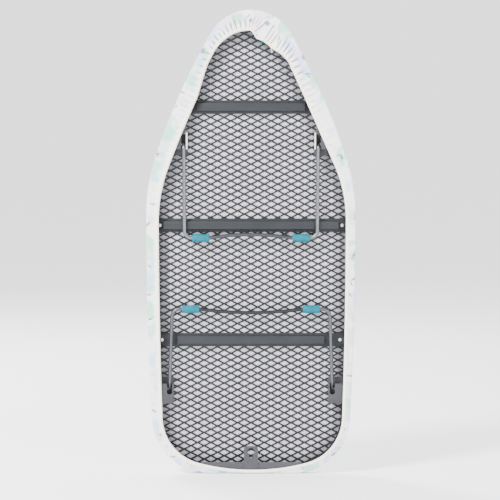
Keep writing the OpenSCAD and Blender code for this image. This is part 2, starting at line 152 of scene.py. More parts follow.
def colours():
    """The colours as the user has set them."""
    return bpy.context.scene.ironing_board_colours


# ---- Places that come from the frame ----

# Each depth is a plane of constant y: the ironing face is highest, the feet lowest
FACE_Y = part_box("cover_top")[1].y
PAD_FRONT_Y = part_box("felt_pad")[0].y
PAD_BACK_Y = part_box("felt_pad")[1].y
MESH_BACK_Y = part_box("mesh_panel")[1].y
MESH_FRONT_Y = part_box("mesh_panel")[0].y
RIM_FRONT_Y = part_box("frame_rim")[0].y
LIP_FRONT_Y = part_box("cover_skirt")[0].y
BINDING_FRONT_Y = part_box("hem_binding")[0].y
BOARD_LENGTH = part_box("cover_top")[1].z
BOARD_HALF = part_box("cover_top")[1].x
# The hem's inner edge lies this far inside the lowest point of its cord
CORD_TO_HEM = mm(3.25)
HEM_LOW_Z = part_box("draw_cord")[0].z + CORD_TO_HEM

# The hem's inner edge from the wide end to the nose, as arcs of radius, first and last normal angle
HEM_LOW = [(mm(320), -90, -75), (mm(76), -75, -2)]
HEM_BEND = [(mm(230), 0, 22.5)]
HEM_TIP = [(mm(110), 25, 55)]
HEM_NOSE = [(mm(44), 55, 90)]
HEM_LEAN = 2
HEM_TOP_Z = mm(692)

LEG_SIDES = [(leg, side) for leg in ("nose", "rear") for side in ("left", "right")]


def run_of(arcs, along):
    """How far arcs reach in one direction, given the sine or cosine that measures it."""
    return sum(r * (along(end) - along(start)) for r, start, end in arcs)


def chain(start, arcs, spacing):
    """Points and outward normals along arcs of (radius, first normal angle, last normal angle)."""
    points, normals = [], []
    at = Vector(start)
    for radius, first, last in arcs:
        centre = at - radius * Vector((math.cos(first), math.sin(first)))
        steps = max(2, round(radius * abs(last - first) / spacing))
        for k in range(steps):
            a = first + (last - first) * k / steps
            n = Vector((math.cos(a), math.sin(a)))
            points.append(centre + radius * n)
            normals.append(n)
        at = centre + radius * Vector((math.cos(last), math.sin(last)))
    points.append(at)
    normals.append(Vector((0.0, 1.0)))
    return points, normals


def flat_start(half, z, spacing):
    """Points and normals along the straight lower edge, from its middle outwards."""
    steps = max(1, round(half / spacing))
    return [Vector((half * k / steps, z)) for k in range(steps)], [Vector((0.0, -1.0))] * steps


def both_sides(points, normals):
    """Closes one side's points into a loop, anticlockwise from the wide end's middle."""
    other = zip(points[-2:0:-1], normals[-2:0:-1])
    loop = list(zip(points, normals))
    loop += [(Vector((-p.x, p.y)), Vector((-n.x, n.y))) for p, n in other]
    return np.array([p for p, _ in loop]), np.array([n for _, n in loop])


def board_loop(spacing):
    """The board's outline as points and normals in x and z."""
    s = sizes()
    quarter = math.pi / 2
    low = (s.corner_radius, -quarter, -s.side_lean)
    shoulder_run = s.shoulder_radius * (1 - math.cos(s.shoulder_angle))
    nose_run = s.nose_radius * math.cos(s.nose_angle)
    flank = (BOARD_HALF - shoulder_run - nose_run) / (
        math.cos(s.shoulder_angle) - math.cos(s.nose_angle)
    )
    high = [
        (s.shoulder_radius, 0.0, s.shoulder_angle),
        (flank, s.shoulder_angle, s.nose_angle),
        (s.nose_radius, s.nose_angle, quarter),
    ]
    side = (BOARD_LENGTH - run_of(high + [low], math.sin)) / math.sin(s.side_lean)
    arcs = [low, (side, -s.side_lean, 0.0)] + high
    half = -run_of(arcs, math.cos)
    flat = flat_start(half, 0.0, spacing)
    curve = chain((half, 0.0), arcs, spacing)
    return both_sides(flat[0] + curve[0], flat[1] + curve[1])


def hem_loop(spacing, pulled=True):
    """The inner edge of the hem as points and normals in x and z."""
    low, bend, tip, nose = [
        [(r, math.radians(a), math.radians(b)) for r, a, b in group]
        for group in (HEM_LOW, HEM_BEND, HEM_TIP, HEM_NOSE)
    ]
    lean = math.radians(HEM_LEAN)
    closed = bend + tip + nose
    first, last = bend[0][2], tip[0][1]
    flank = (sizes().opening_half + run_of(closed, math.cos)) / (
        math.cos(first) - math.cos(last)
    )
    high = bend + [(flank, first, last)] + tip + nose
    side = (HEM_TOP_Z - HEM_LOW_Z - run_of(low + high, math.sin)) / math.sin(lean)
    arcs = low + [(side, -lean, 0.0)] + high
    half = -run_of(arcs, math.cos)
    flat = flat_start(half, HEM_LOW_Z, spacing)
    curve = chain((half, HEM_LOW_Z), arcs, spacing)
    points, normals = both_sides(flat[0] + curve[0], flat[1] + curve[1])
    if pulled:
        points = points + pull_of_cord(points, normals)
    return points, normals


def eased(value, low, high):
    """Nothing below low, all above high, and a smooth rise between."""
    t = np.clip((value - low) / (high - low), 0, 1)
    return t * t * (3 - 2 * t)


def pull_of_cord(points, normals):
    """How far the draw cord pulls the hem off centre: out at the left, drawn in over the lock."""
    x, z = points.T
    nose = eased(z, mm(585), mm(640))
    left = 1 - eased(x, mm(-3), mm(10))
    lock = eased(x, mm(-1), mm(12)) * (1 - eased(x, mm(34), mm(60)))
    out = mm(5) + mm(4) * np.exp(-(((x + mm(40)) / mm(22)) ** 2))
    away = nose * (left * out - lock * mm(7.2))
    drift = mm(2.2) * (1 - eased(z, mm(440), mm(560)))
    return normals * away[:, None] + np.stack([drift, np.zeros(len(x))], axis=1)


def clear_selection():
    """Leaves edit mode and deselects every object."""
    if bpy.context.object and bpy.context.object.mode != "OBJECT":
        bpy.ops.object.mode_set(mode="OBJECT")
    bpy.ops.object.select_all(action="DESELECT")


def make_active(obj):
    """Makes an object the only one selected and the active one."""
    clear_selection()
    obj.select_set(True)
    bpy.context.view_layer.objects.active = obj


def new_mesh(name, vertices, faces):
    """An object from lists of points and faces, selected and active."""
    data = bpy.data.meshes.new(name)
    data.from_pydata([tuple(v) for v in vertices], [], faces)
    data.update()
    obj = bpy.data.objects.new(name, data)
    bpy.context.scene.collection.objects.link(obj)
    make_active(obj)
    return obj


def apply_all(obj):
    """Applies an object's modifiers in their order."""
    make_active(obj)
    for modifier in list(obj.modifiers):
        bpy.ops.object.modifier_apply(modifier=modifier.name)


def face_outwards(merge=0.0):
    """Turns the active mesh's faces outwards, once points closer than merge are made one."""
    bpy.ops.object.mode_set(mode="EDIT")
    bpy.ops.mesh.select_all(action="SELECT")
    if merge:
        bpy.ops.mesh.remove_doubles(threshold=merge)
    bpy.ops.mesh.normals_make_consistent(inside=False)
    bpy.ops.object.mode_set(mode="OBJECT")


def mark_points(obj, name, marks):
    """Gives each point of a mesh a red, green and blue mark that its finish can read."""
    layer = obj.data.color_attributes.new(name=name, type="FLOAT_COLOR", domain="POINT")
    for spot, mark in zip(layer.data, marks):
        spot.color = (*mark, 1.0)


def finish_piece(obj, name, material, nodes, body=BODY, smooth=35):
    """Names a piece, gives it its finish and body, and lets it stand for its CAD nodes."""
    obj.name = name
    obj.data.name = name
    make_active(obj)
    bpy.ops.object.transform_apply(location=True, rotation=True, scale=True)
    bpy.ops.object.shade_smooth_by_angle(angle=math.radians(smooth))
    obj.data.materials.clear()
    obj.data.materials.append(material)
    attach(obj, body)
    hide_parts(*nodes)


# Where a CAD node's faces meet at more than this, the edge is pressed or moulded round
SHARP_EDGE = math.radians(28)
MERGE_DISTANCE = mm(0.004)
FLAT_ENOUGH = math.radians(1)


def refined_copy(node, bevel_mm, segments=2):
    """A merged copy of a CAD node with its pressed or moulded edges rounded."""
    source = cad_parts[node]
    copy = bpy.data.objects.new(node + "_fine", source.data.copy())
    bpy.context.scene.collection.objects.link(copy)
    make_active(copy)
    bpy.ops.object.mode_set(mode="EDIT")
    bpy.ops.mesh.select_all(action="SELECT")
    bpy.ops.mesh.remove_doubles(threshold=MERGE_DISTANCE)
    bpy.ops.mesh.dissolve_limited(angle_limit=FLAT_ENOUGH)
    bpy.ops.object.mode_set(mode="OBJECT")
    for attribute in [a for a in copy.data.attributes if a.name == "custom_normal"]:
        copy.data.attributes.remove(attribute)
    if bevel_mm:
        bevel = copy.modifiers.new("rounded", "BEVEL")
        bevel.width = mm(bevel_mm)
        bevel.segments = segments
        bevel.limit_method = "ANGLE"
        bevel.angle_limit = SHARP_EDGE
        apply_all(copy)
    return copy


# ---- Materials ----


def add_node(tree, kind, inputs=None, output=0, **settings):
    """Adds a node, sets it, fills or links its inputs, and gives one of its outputs."""
    made = tree.nodes.new("ShaderNode" + kind)
    for key, value in settings.items():
        setattr(made, key, value)
    for key, value in (inputs or {}).items():
        if isinstance(value, bpy.types.NodeSocket):
            tree.links.new(value, made.inputs[key])
        else:
            made.inputs[key].default_value = value
    return made.outputs[output] if made.outputs else made


def per_mm(spacing):
    """Pattern scale for a spacing in millimetres, on coordinates in metres."""
    return 1000.0 / spacing


def tone(colour, factor):
    """A colour made darker or paler by a factor."""
    return tuple(min(1.0, c * factor) for c in colour[:3]) + (1.0,)


def uneven(tree, place, spacing, low, high, span=(0.0, 1.0), detail=2.0, stretch=(1.0, 1.0, 1.0)):
    """Noise of a real spacing in millimetres, spread so that low to high becomes the span."""
    drawn = add_node(tree, "Mapping", {"Vector": place, "Scale": stretch})
    grain = add_node(
        tree, "TexNoise", {"Vector": drawn, "Scale": per_mm(spacing), "Detail": detail}
    )
    return add_node(
        tree, "MapRange",
        {"Value": grain, "From Min": low, "From Max": high, "To Min": span[0], "To Max": span[1]},
    )


def layered(tree, base, *layers):
    """A colour with others laid over it, each by its own amount."""
    for amount, colour in layers:
        base = add_node(tree, "Mix", {0: amount, 6: base, 7: colour}, 2, data_type="RGBA")
    return base


def summed(tree, first, second, share=1.0):
    """One height plus a share of another."""
    return add_node(tree, "Math", {0: second, 1: share, 2: first}, operation="MULTIPLY_ADD")


def powder_coat(tree, place, colour, roughness=0.45):
    """Baked polyester powder on steel: fine orange peel and slightly uneven gloss, no metal."""
    cloud = uneven(tree, place, 45, 0.3, 0.7, detail=3)
    grit = uneven(tree, place, 0.5, 0.62, 0.78, (0.0, 0.35), 1)
    peel = uneven(tree, place, 1.6, 0.0, 1.0)
    return {
        "Base Color": layered(
            tree, tone(colour, 0.88), (cloud, tone(colour, 1.12)), (grit, tone(colour, 1.6))
        ),
        "Roughness": uneven(tree, place, 30, 0.3, 0.7, (roughness - 0.05, roughness + 0.1)),
        "Specular IOR Level": 0.22,
        "Normal": add_node(tree, "Bump", {"Height": peel, "Distance": mm(0.05), "Strength": 0.6}),
    }


def rolled_bar(tree, place, colour):
    """Satin powder coat over rolled strip: faint lines along the bar under the orange peel."""
    along = (0.02, 1.0, 1.0)
    lines = uneven(tree, place, 1.1, 0.45, 0.75, (0.0, 0.3), 3, along)
    cloud = uneven(tree, place, 60, 0.3, 0.7)
    peel = uneven(tree, place, 1.8, 0.0, 1.0)
    height = summed(tree, peel, lines, 1.5)
    return {
        "Base Color": layered(
            tree, tone(colour, 0.9), (cloud, tone(colour, 1.1)), (lines, tone(colour, 1.35))
        ),
        "Roughness": uneven(tree, place, 1.1, 0.3, 0.7, (0.36, 0.5), 3, along),
        "Specular IOR Level": 0.2,
        "Normal": add_node(tree, "Bump", {"Height": height, "Distance": mm(0.03), "Strength": 0.5}),
    }


def plated_wire(tree, place, colour, inner_x):
    """Drawn steel wire, satin plated: a soft metal gloss, with painted shade that makes the bow of
    the foot much darker.
    """
    cloud = uneven(tree, place, 18, 0.3, 0.7)
    fine = uneven(tree, place, 1.4, 0.0, 1.0, detail=3)
    split = add_node(tree, "SeparateXYZ", {"Vector": place})
    side = add_node(tree, "Math", {0: split}, operation="ABSOLUTE")
    # Painted shade: the bow between the sleeves is painted much darker, in place of the dark it
    # reflects from above and below
    bow = add_node(
        tree, "MapRange", {"Value": side, "From Min": inner_x + mm(3), "From Max": inner_x - mm(3)}
    )
    base = layered(tree, tone(colour, 0.88), (cloud, tone(colour, 1.1)), (bow, tone(colour, 0.32)))
    return {
        "Base Color": base,
        "Metallic": 0.85,
        "Roughness": uneven(tree, place, 12, 0.3, 0.7, (0.3, 0.42)),
        "Normal": add_node(tree, "Bump", {"Height": fine, "Distance": mm(0.02), "Strength": 0.3}),
    }


def zinc_plate(tree, place, colour):
    """Bright zinc plating on a pressed rivet: a real metal with cloudy, lightly scratched gloss."""
    cloud = uneven(tree, place, 2.5, 0.3, 0.7, detail=3)
    scratch = uneven(tree, place, 0.3, 0.0, 1.0, stretch=(1.0, 0.1, 0.1))
    return {
        "Base Color": layered(tree, tone(colour, 0.85), (cloud, tone(colour, 1.05))),
        "Metallic": 1.0,
        "Roughness": uneven(tree, place, 2.5, 0.3, 0.7, (0.25, 0.42), 3),
        "Normal": add_node(
            tree, "Bump", {"Height": scratch, "Distance": mm(0.02), "Strength": 0.4}
        ),
    }


def painted_edge_highlight(tree, place, colour):
    """Painted highlight on the cut edge of a pressed bracket: pale, streaky and nearly matt."""
    streak = uneven(tree, place, 2.0, 0.35, 0.7, detail=3, stretch=(1.0, 1.0, 0.15))
    return {
        "Base Color": layered(tree, colour, (streak, tone(colour, 0.7))),
        "Roughness": uneven(tree, place, 3.0, 0.3, 0.7, (0.4, 0.6)),
        "Normal": add_node(tree, "Bump", {"Height": streak, "Distance": mm(0.04), "Strength": 0.4}),
    }


def soft_vinyl(tree, place, colour):
    """Dipped soft vinyl: deep even colour, a waxy gloss and faint ripples from the mould."""
    cloud = uneven(tree, place, 9, 0.3, 0.7)
    ripple = uneven(tree, place, 2.2, 0.0, 1.0, stretch=(1.0, 0.3, 0.3))
    grain = uneven(tree, place, 0.7, 0.0, 1.0, detail=1)
    height = summed(tree, ripple, grain, 0.7)
    return {
        "Base Color": layered(tree, tone(colour, 0.88), (cloud, tone(colour, 1.12))),
        "Roughness": uneven(tree, place, 0.7, 0.3, 0.7, (0.34, 0.46), 1),
        "Specular IOR Level": 0.12,
        "IOR": 1.53,
        "Normal": add_node(tree, "Bump", {"Height": height, "Distance": mm(0.06), "Strength": 0.5}),
    }


def moulded_plastic(tree, place, colour):
    """Injection-moulded acetal: smooth, fairly glossy, with a fine spark-eroded grain."""
    grain = uneven(tree, place, 0.35, 0.0, 1.0)
    cloud = uneven(tree, place, 6, 0.3, 0.7)
    return {
        "Base Color": layered(tree, tone(colour, 0.92), (cloud, tone(colour, 1.1))),
        "Roughness": uneven(tree, place, 0.35, 0.3, 0.7, (0.28, 0.38)),
        "Specular IOR Level": 0.2,
        "IOR": 1.48,
        "Normal": add_node(tree, "Bump", {"Height": grain, "Distance": mm(0.02), "Strength": 0.4}),
    }


def needled_felt(tree, place, colour, hem_shade):
    """Needle-punched fibre pad: mottled grey-lilac, matt, with short loose fibres on top."""
    clump = uneven(tree, place, 7, 0.3, 0.7, detail=3)
    # Fibres are drawn about four times as coarse as real ones, so that they show
    fibre = uneven(tree, place, 1.3, 0.5, 0.75, (0.0, 0.6), 5, (1.0, 1.0, 0.35))
    fleck = uneven(tree, place, 2.2, 0.64, 0.74, (0.0, 0.7), 3)
    patch = uneven(tree, place, 38, 0.35, 0.7)
    base = layered(
        tree, tone(colour, 0.9), (clump, tone(colour, 1.06)), (patch, tone(colour, 1.12)),
        (fibre, tone(colour, 0.62)), (fleck, linear("#6b6778")),
    )
    # The edge mark carries painted shade along the hem, mixed in as the darker hem shade colour
    edge = add_node(tree, "Attribute", {}, attribute_name="edge")
    base = layered(tree, base, (edge, hem_shade))
    height = summed(tree, fibre, clump, 0.6)
    return {
        "Base Color": base,
        "Roughness": 0.95,
        "Sheen Weight": 0.15,
        "Sheen Roughness": 0.6,
        "Specular IOR Level": 0.15,
        "Normal": add_node(tree, "Bump", {"Height": height, "Distance": mm(0.5), "Strength": 0.8}),
    }


def weave_height(tree, place, thread_mm):
    """Plain weave: two crossed sets of threads, one over one under."""
    split = add_node(tree, "SeparateXYZ", {"Vector": place}).node
    waves = []
    for axis in (0, 1):
        pace = per_mm(thread_mm) * math.pi
        turn = add_node(tree, "Math", {0: split.outputs[axis], 1: pace}, operation="MULTIPLY")
        wave = add_node(tree, "Math", {0: turn}, operation="SINE")
        waves.append(add_node(tree, "Math", {0: wave}, operation="ABSOLUTE"))
    return add_node(tree, "Math", dict(enumerate(waves)), operation="MAXIMUM")


def leaf_mask(tree, place, cell_mm, long_mm, wide_mm, share, seed):
    """Small pointed strokes, one to a cell, each turned its own way."""
    scale = per_mm(cell_mm)
    shifted = add_node(tree, "Mapping", {"Vector": place, "Location": (seed, seed * 0.7, 0.0)})
    cells = add_node(
        tree, "TexVoronoi", {"Vector": shifted, "Scale": scale, "Randomness": 0.85},
        voronoi_dimensions="2D", feature="F1",
    ).node
    away = add_node(
        tree, "VectorMath", {0: shifted, 1: cells.outputs["Position"]}, operation="SUBTRACT"
    )
    local = add_node(tree, "VectorMath", {0: away, "Scale": scale}, operation="SCALE")
    dice = add_node(tree, "SeparateColor", {"Color": cells.outputs["Color"]}).node
    angle = add_node(tree, "Math", {0: dice.outputs[0], 1: math.tau}, operation="MULTIPLY")
    turned = add_node(
        tree, "VectorRotate", {"Vector": local, "Angle": angle}, rotation_type="Z_AXIS"
    )
    split = add_node(tree, "SeparateXYZ", {"Vector": turned}).node
    half_long, half_wide = long_mm / cell_mm / 2, wide_mm / cell_mm / 2
    along = add_node(tree, "Math", {0: split.outputs[0], 1: half_long}, operation="DIVIDE")
    square = add_node(tree, "Math", {0: along, 1: along}, operation="MULTIPLY")
    taper = add_node(tree, "Math", {0: 1.0, 1: square}, operation="SUBTRACT")
    width = add_node(tree, "Math", {0: split.outputs[1]}, operation="ABSOLUTE")
    across = add_node(tree, "Math", {0: width, 1: half_wide}, operation="DIVIDE")
    inside = add_node(tree, "Math", {0: taper, 1: across}, operation="SUBTRACT")
    soft = add_node(tree, "MapRange", {"Value": inside, "From Min": 0.0, "From Max": 0.3})
    chosen = add_node(tree, "Math", {0: dice.outputs[1], 1: share}, operation="LESS_THAN")
    return add_node(tree, "Math", {0: soft, 1: chosen}, operation="MULTIPLY")


# Painted shade down in the folds of the hem
FOLD_SHADE = "#716e80"

# Washes of the print: colour, spacing in mm, level at which it starts, shift and strength
PRINT_WASHES = (
    ("print_grey", 48, 0.54, (7.3, 5.9, 0.0), 0.9), ("print_mint", 56, 0.57, (0.1, 0.2, 0.0), 0.9),
    ("print_blue", 66, 0.56, (3.7, 1.1, 0.0), 0.85),
    ("print_lilac", 58, 0.55, (2.2, 8.4, 0.0), 0.9),
)

# Scattered leaves: cell, length and width in mm, share of cells that have one, shift and colour
PRINT_LEAVES = (
    (30, 15, 4.6, 0.6, 0.13, "print_leaf"), (38, 24, 9.5, 0.5, 0.57, "print_mint"),
    (26, 10, 3.4, 0.45, 0.91, "print_leaf"), (45, 26, 12, 0.4, 0.33, "print_blue"),
)

# Sprays of the print that are placed rather than scattered: x, z, radius in mm and colour
PRINT_SPRAYS = (
    (-20, 716, 11, "print_mint"), (50, 702, 12, "print_mint"), (-63, 690, 13, "print_blue"),
    (60, 672, 13, "print_blue"), (-95, 622, 12, "print_mint"), (101, 621, 12, "print_mint"),
    (-128, 535, 14, "print_mint"), (-138, 560, 16, "print_blue"), (84, 655, 6, "print_leaf"),
    (-75, 665, 6, "print_leaf"), (26, 708, 5, "print_leaf"), (0, 713, 4, "print_leaf"),
)


def printed_cotton(tree, place, c):
    """Woven cotton, reactive printed: matt white ground, soft watercolour washes, small leaves."""
    edge = uneven(tree, place, 9, 0.0, 1.0, (-0.09, 0.09), 3)
    base = tuple(c.cotton)
    for colour, spacing, level, shift, strength in PRINT_WASHES:
        moved = add_node(tree, "Mapping", {"Vector": place, "Location": shift})
        spread = uneven(tree, moved, spacing, 0.0, 1.0)
        ragged = summed(tree, spread, edge)
        amount = add_node(
            tree, "MapRange",
            {"Value": ragged, "From Min": level, "From Max": level + 0.07, "To Max": strength},
        )
        base = layered(tree, base, (amount, tuple(getattr(c, colour))))
    for cell, long_side, wide_side, share, seed, colour in PRINT_LEAVES:
        leaf = leaf_mask(tree, place, cell, long_side, wide_side, share, seed)
        worn = uneven(tree, place, 4, 0.3, 0.65, (0.35, 1.0), 3)
        wash = add_node(tree, "Math", {0: leaf, 1: worn}, operation="MULTIPLY")
        base = layered(tree, base, (wash, tuple(getattr(c, colour))))
    spot = add_node(tree, "TexCoord").node.outputs["Object"]
    flat = add_node(tree, "VectorMath", {0: spot, 1: (1.0, 0.0, 1.0)}, operation="MULTIPLY")
    for x, z, radius, colour in PRINT_SPRAYS:
        centre = (mm(x), 0.0, mm(z))
        gap = add_node(tree, "VectorMath", {0: flat, 1: centre}, 1, operation="DISTANCE")
        ragged = summed(tree, gap, edge, mm(60))
        amount = add_node(
            tree, "MapRange",
            {"Value": ragged, "From Min": mm(radius), "From Max": mm(radius * 0.5), "To Max": 0.85},
        )
        base = layered(tree, base, (amount, tuple(getattr(c, colour))))
    # The hem's marks: red where the unprinted cream tape shows, green where shade is painted down in
    # the folds
    hem = add_node(tree, "Attribute", {}, attribute_name="hem").node
    masks = add_node(tree, "SeparateColor", {"Color": hem.outputs["Color"]}).node
    base = layered(
        tree, base, (masks.outputs[0], tuple(c.binding)), (masks.outputs[1], linear(FOLD_SHADE)),
    )
    # Real threads are 0.35 mm apart, drawn at 0.8 mm so that the weave shows
    weave = weave_height(tree, place, 0.8)
    slub = uneven(tree, place, 2.5, 0.0, 1.0)
    # Painted shade between the threads: greyer where the weave is low
    gap = add_node(
        tree, "MapRange",
        {"Value": weave, "From Min": 0.2, "From Max": 1.0, "To Min": 0.12, "To Max": 0.0},
    )
    height = summed(tree, weave, slub)
    return {
        "Base Color": layered(tree, base, (gap, linear("#b9bcc0"))),
        "Roughness": 0.88,
        "Sheen Weight": 0.12,
        "Sheen Roughness": 0.5,
        "Specular IOR Level": 0.2,
        "Normal": add_node(tree, "Bump", {"Height": height, "Distance": mm(0.12), "Strength": 0.5}),
    }


def gathered_tape(tree, place, colour):
    """Cotton tape over a cord: matt cream with fine ribs, and painted shade down between the
    gathers.
    """
    hem = add_node(tree, "Attribute", {}, attribute_name="hem").node
    masks = add_node(tree, "SeparateColor", {"Color": hem.outputs["Color"]}).node
    split = add_node(tree, "SeparateXYZ", {"Vector": place})
    turn = add_node(tree, "Math", {0: split, 1: per_mm(0.9) * math.tau}, operation="MULTIPLY")
    rib = add_node(tree, "Math", {0: turn}, operation="SINE")
    cloud = uneven(tree, place, 12, 0.3, 0.7)
    # Real threads are about 0.3 mm apart, drawn at 0.6 mm so that the weave shows
    height = summed(tree, weave_height(tree, place, 0.6), rib, 0.5)
    return {
        "Base Color": layered(
            tree, tone(colour, 0.93), (cloud, tone(colour, 1.02)),
            (masks.outputs[1], linear(FOLD_SHADE)),
        ),
        "Roughness": 0.85,
        "Sheen Weight": 0.2,
        "Sheen Roughness": 0.5,
        "Specular IOR Level": 0.2,
        "Normal": add_node(tree, "Bump", {"Height": height, "Distance": mm(0.12), "Strength": 0.5}),
    }


def braided_cord(tree, place, pale, strand_shade):
    """Braided polyester cord: off-white with a herringbone of fine strands, painted shade between
    them, and a slight sheen.
    """
    split = add_node(tree, "SeparateXYZ", {"Vector": place}).node
    pace = per_mm(1.6) * math.tau
    along = add_node(tree, "Math", {0: split.outputs[0], 1: pace}, operation="MULTIPLY")
    around = add_node(tree, "Math", {0: split.outputs[1], 1: 3 * math.tau}, operation="MULTIPLY")
    strands = []
    for how in ("ADD", "SUBTRACT"):
        turn = add_node(tree, "Math", {0: along, 1: around}, operation=how)
        strands.append(add_node(tree, "Math", {0: turn}, operation="SINE"))
    braid = add_node(tree, "Math", dict(enumerate(strands)), operation="MAXIMUM")
    lit = add_node(tree, "MapRange", {"Value": braid, "From Min": -0.2, "From Max": 1.0})
    return {
        # The darker colour is painted shade down between the strands
        "Base Color": layered(tree, strand_shade, (lit, pale)),
        "Roughness": 0.6,
        "Sheen Weight": 0.2,
        "Specular IOR Level": 0.4,
        "Normal": add_node(tree, "Bump", {"Height": braid, "Distance": mm(0.2), "Strength": 0.6}),
    }


def pale_floor(tree, place, colour, glow):
    """Matt painted studio floor: near white, with a very slight unevenness."""
    cloud = uneven(tree, place, 400, 0.3, 0.7)
    return {
        "Base Color": layered(tree, tone(colour, 0.99), (cloud, tone(colour, 1.0))),
        "Roughness": 0.9,
        "Specular IOR Level": 0.0,
        "Emission Color": (1.0, 1.0, 1.0, 1.0),
        "Emission Strength": glow,
    }


def finish_of(name, recipe, *values, coordinates="Object"):
    """The material of that name, made the first time it is asked for."""
    material = bpy.data.materials.get(name)
    if material:
        return material
    material = bpy.data.materials.new(name)
    material.use_nodes = True
    tree = material.node_tree
    tree.nodes.clear()
    place = add_node(tree, "TexCoord").node.outputs[coordinates]
    shader = add_node(tree, "BsdfPrincipled", recipe(tree, place, *values))
    add_node(tree, "OutputMaterial", {"Surface": shader})
    return material


# ---- Operators ----


# The mesh: its sheet, how far slitting tilts each strand, and where its cut edge lies in the rim
MESH_THICKNESS = mm(1.3)
MESH_TILT = mm(0.6)
MESH_INSET = mm(6)
MESH_EDGE_SPACING = mm(12)


class IRONBOARD_OT_mesh_panel(bpy.types.Operator):
    """Make the expanded steel mesh from one opening, repeated and trimmed to the outline"""

    bl_idname = "ironing_board.mesh_panel"
    bl_label = "Expanded Mesh"

    def execute(self, context):
        s = sizes()
        long_way, short_way = s.mesh_long, s.mesh_short
        middle = (MESH_BACK_Y + MESH_FRONT_Y) / 2
        clear_selection()
        bpy.ops.mesh.primitive_circle_add(
            vertices=4, radius=long_way / 2, fill_type="NGON", rotation=(math.pi / 2, 0.0, 0.0)
        )
        cell = context.object
        bpy.ops.object.transform_apply(rotation=True)
        bpy.ops.object.mode_set(mode="EDIT")
        bpy.ops.mesh.select_all(action="SELECT")
        bpy.ops.transform.resize(value=(1.0, 1.0, short_way / long_way))
        bpy.ops.mesh.inset(thickness=s.mesh_strand / 2, depth=0.0)
        bpy.ops.mesh.delete(type="FACE")
        bpy.ops.object.mode_set(mode="OBJECT")
        for v in cell.data.vertices:
            inner = abs(v.co.x) / (long_way / 2) + abs(v.co.z) / (short_way / 2) < 0.95
            if inner and abs(v.co.z) > abs(v.co.x) * 0.2:
                v.co.y += math.copysign(MESH_TILT, v.co.z)
        bpy.ops.object.mode_set(mode="EDIT")
        bpy.ops.mesh.select_all(action="SELECT")
        bpy.ops.mesh.duplicate()
        bpy.ops.transform.translate(value=(long_way / 2, 0.0, short_way / 2))
        bpy.ops.mesh.select_all(action="SELECT")
        rows = math.ceil(BOARD_LENGTH / short_way) + 1
        columns = math.ceil(BOARD_HALF / long_way)
        bpy.ops.transform.translate(value=(-columns * long_way, middle, 0.0))
        bpy.ops.object.mode_set(mode="OBJECT")
        across, up = (long_way, 0.0, 0.0), (0.0, 0.0, short_way)
        for offset, count in ((across, 2 * columns + 1), (up, rows)):
            repeat = cell.modifiers.new("repeat", "ARRAY")
            repeat.use_relative_offset = False
            repeat.use_constant_offset = True
            repeat.constant_offset_displace = offset
            repeat.count = count
            repeat.use_merge_vertices = True
            repeat.merge_threshold = mm(0.05)
        apply_all(cell)
        trim_to_loop(cell, inset_loop(board_loop(MESH_EDGE_SPACING), MESH_INSET))
        thick = cell.modifiers.new("sheet", "SOLIDIFY")
        thick.thickness = MESH_THICKNESS
        thick.offset = 0.0
        apply_all(cell)
        finish_piece(
            cell, "expanded_mesh",
            finish_of("powder_coated_mesh_steel", powder_coat, colours().mesh),
            ["mesh_panel"], smooth=25,
        )
        return {"FINISHED"}


def inset_loop(loop, distance):
    """A loop's points moved inwards by a distance."""
    points, normals = loop
    return points - normals * distance


def inside_loop(points, loop):
    """Which of the points in x and z lie inside a closed loop."""
    x, z = points[:, 0], points[:, 1]
    hit = np.zeros(len(points), bool)
    ends = np.roll(loop, -1, axis=0)
    for (x1, z1), (x2, z2) in zip(loop, ends):
        if z1 == z2:
            continue
        crosses = (z1 > z) != (z2 > z)
        hit ^= crosses & (x < (x2 - x1) * (z - z1) / (z2 - z1) + x1)
    return hit


def trim_to_loop(obj, loop):
    """Deletes what lies outside a loop in x and z."""
    data = obj.data
    co = np.array([v.co for v in data.vertices])
    outside = ~inside_loop(co[:, [0, 2]], loop)
    make_active(obj)
    bpy.ops.object.mode_set(mode="EDIT")
    bpy.ops.mesh.select_mode(type="VERT")
    bpy.ops.mesh.select_all(action="DESELECT")
    bpy.ops.object.mode_set(mode="OBJECT")
    data.vertices.foreach_set("select", outside)
    bpy.ops.object.mode_set(mode="EDIT")
    bpy.ops.mesh.delete(type="VERT")
    bpy.ops.object.mode_set(mode="OBJECT")


# The felt: its grid, how far it swells into the mesh, how deep it lies inside the CAD's pad between
# the swellings, its distance inside the outline, and where its painted shade by the hem begins to
# fade and ends
FELT_SPACING = mm(2.65)
FELT_SWELL = mm(0.5)
FELT_SINK = mm(0.3)
FELT_INSET = mm(2.2)
FELT_SHADE_NEAR, FELT_SHADE_FAR = mm(2), mm(24)
FELT_SHADE_STRENGTH = 0.85


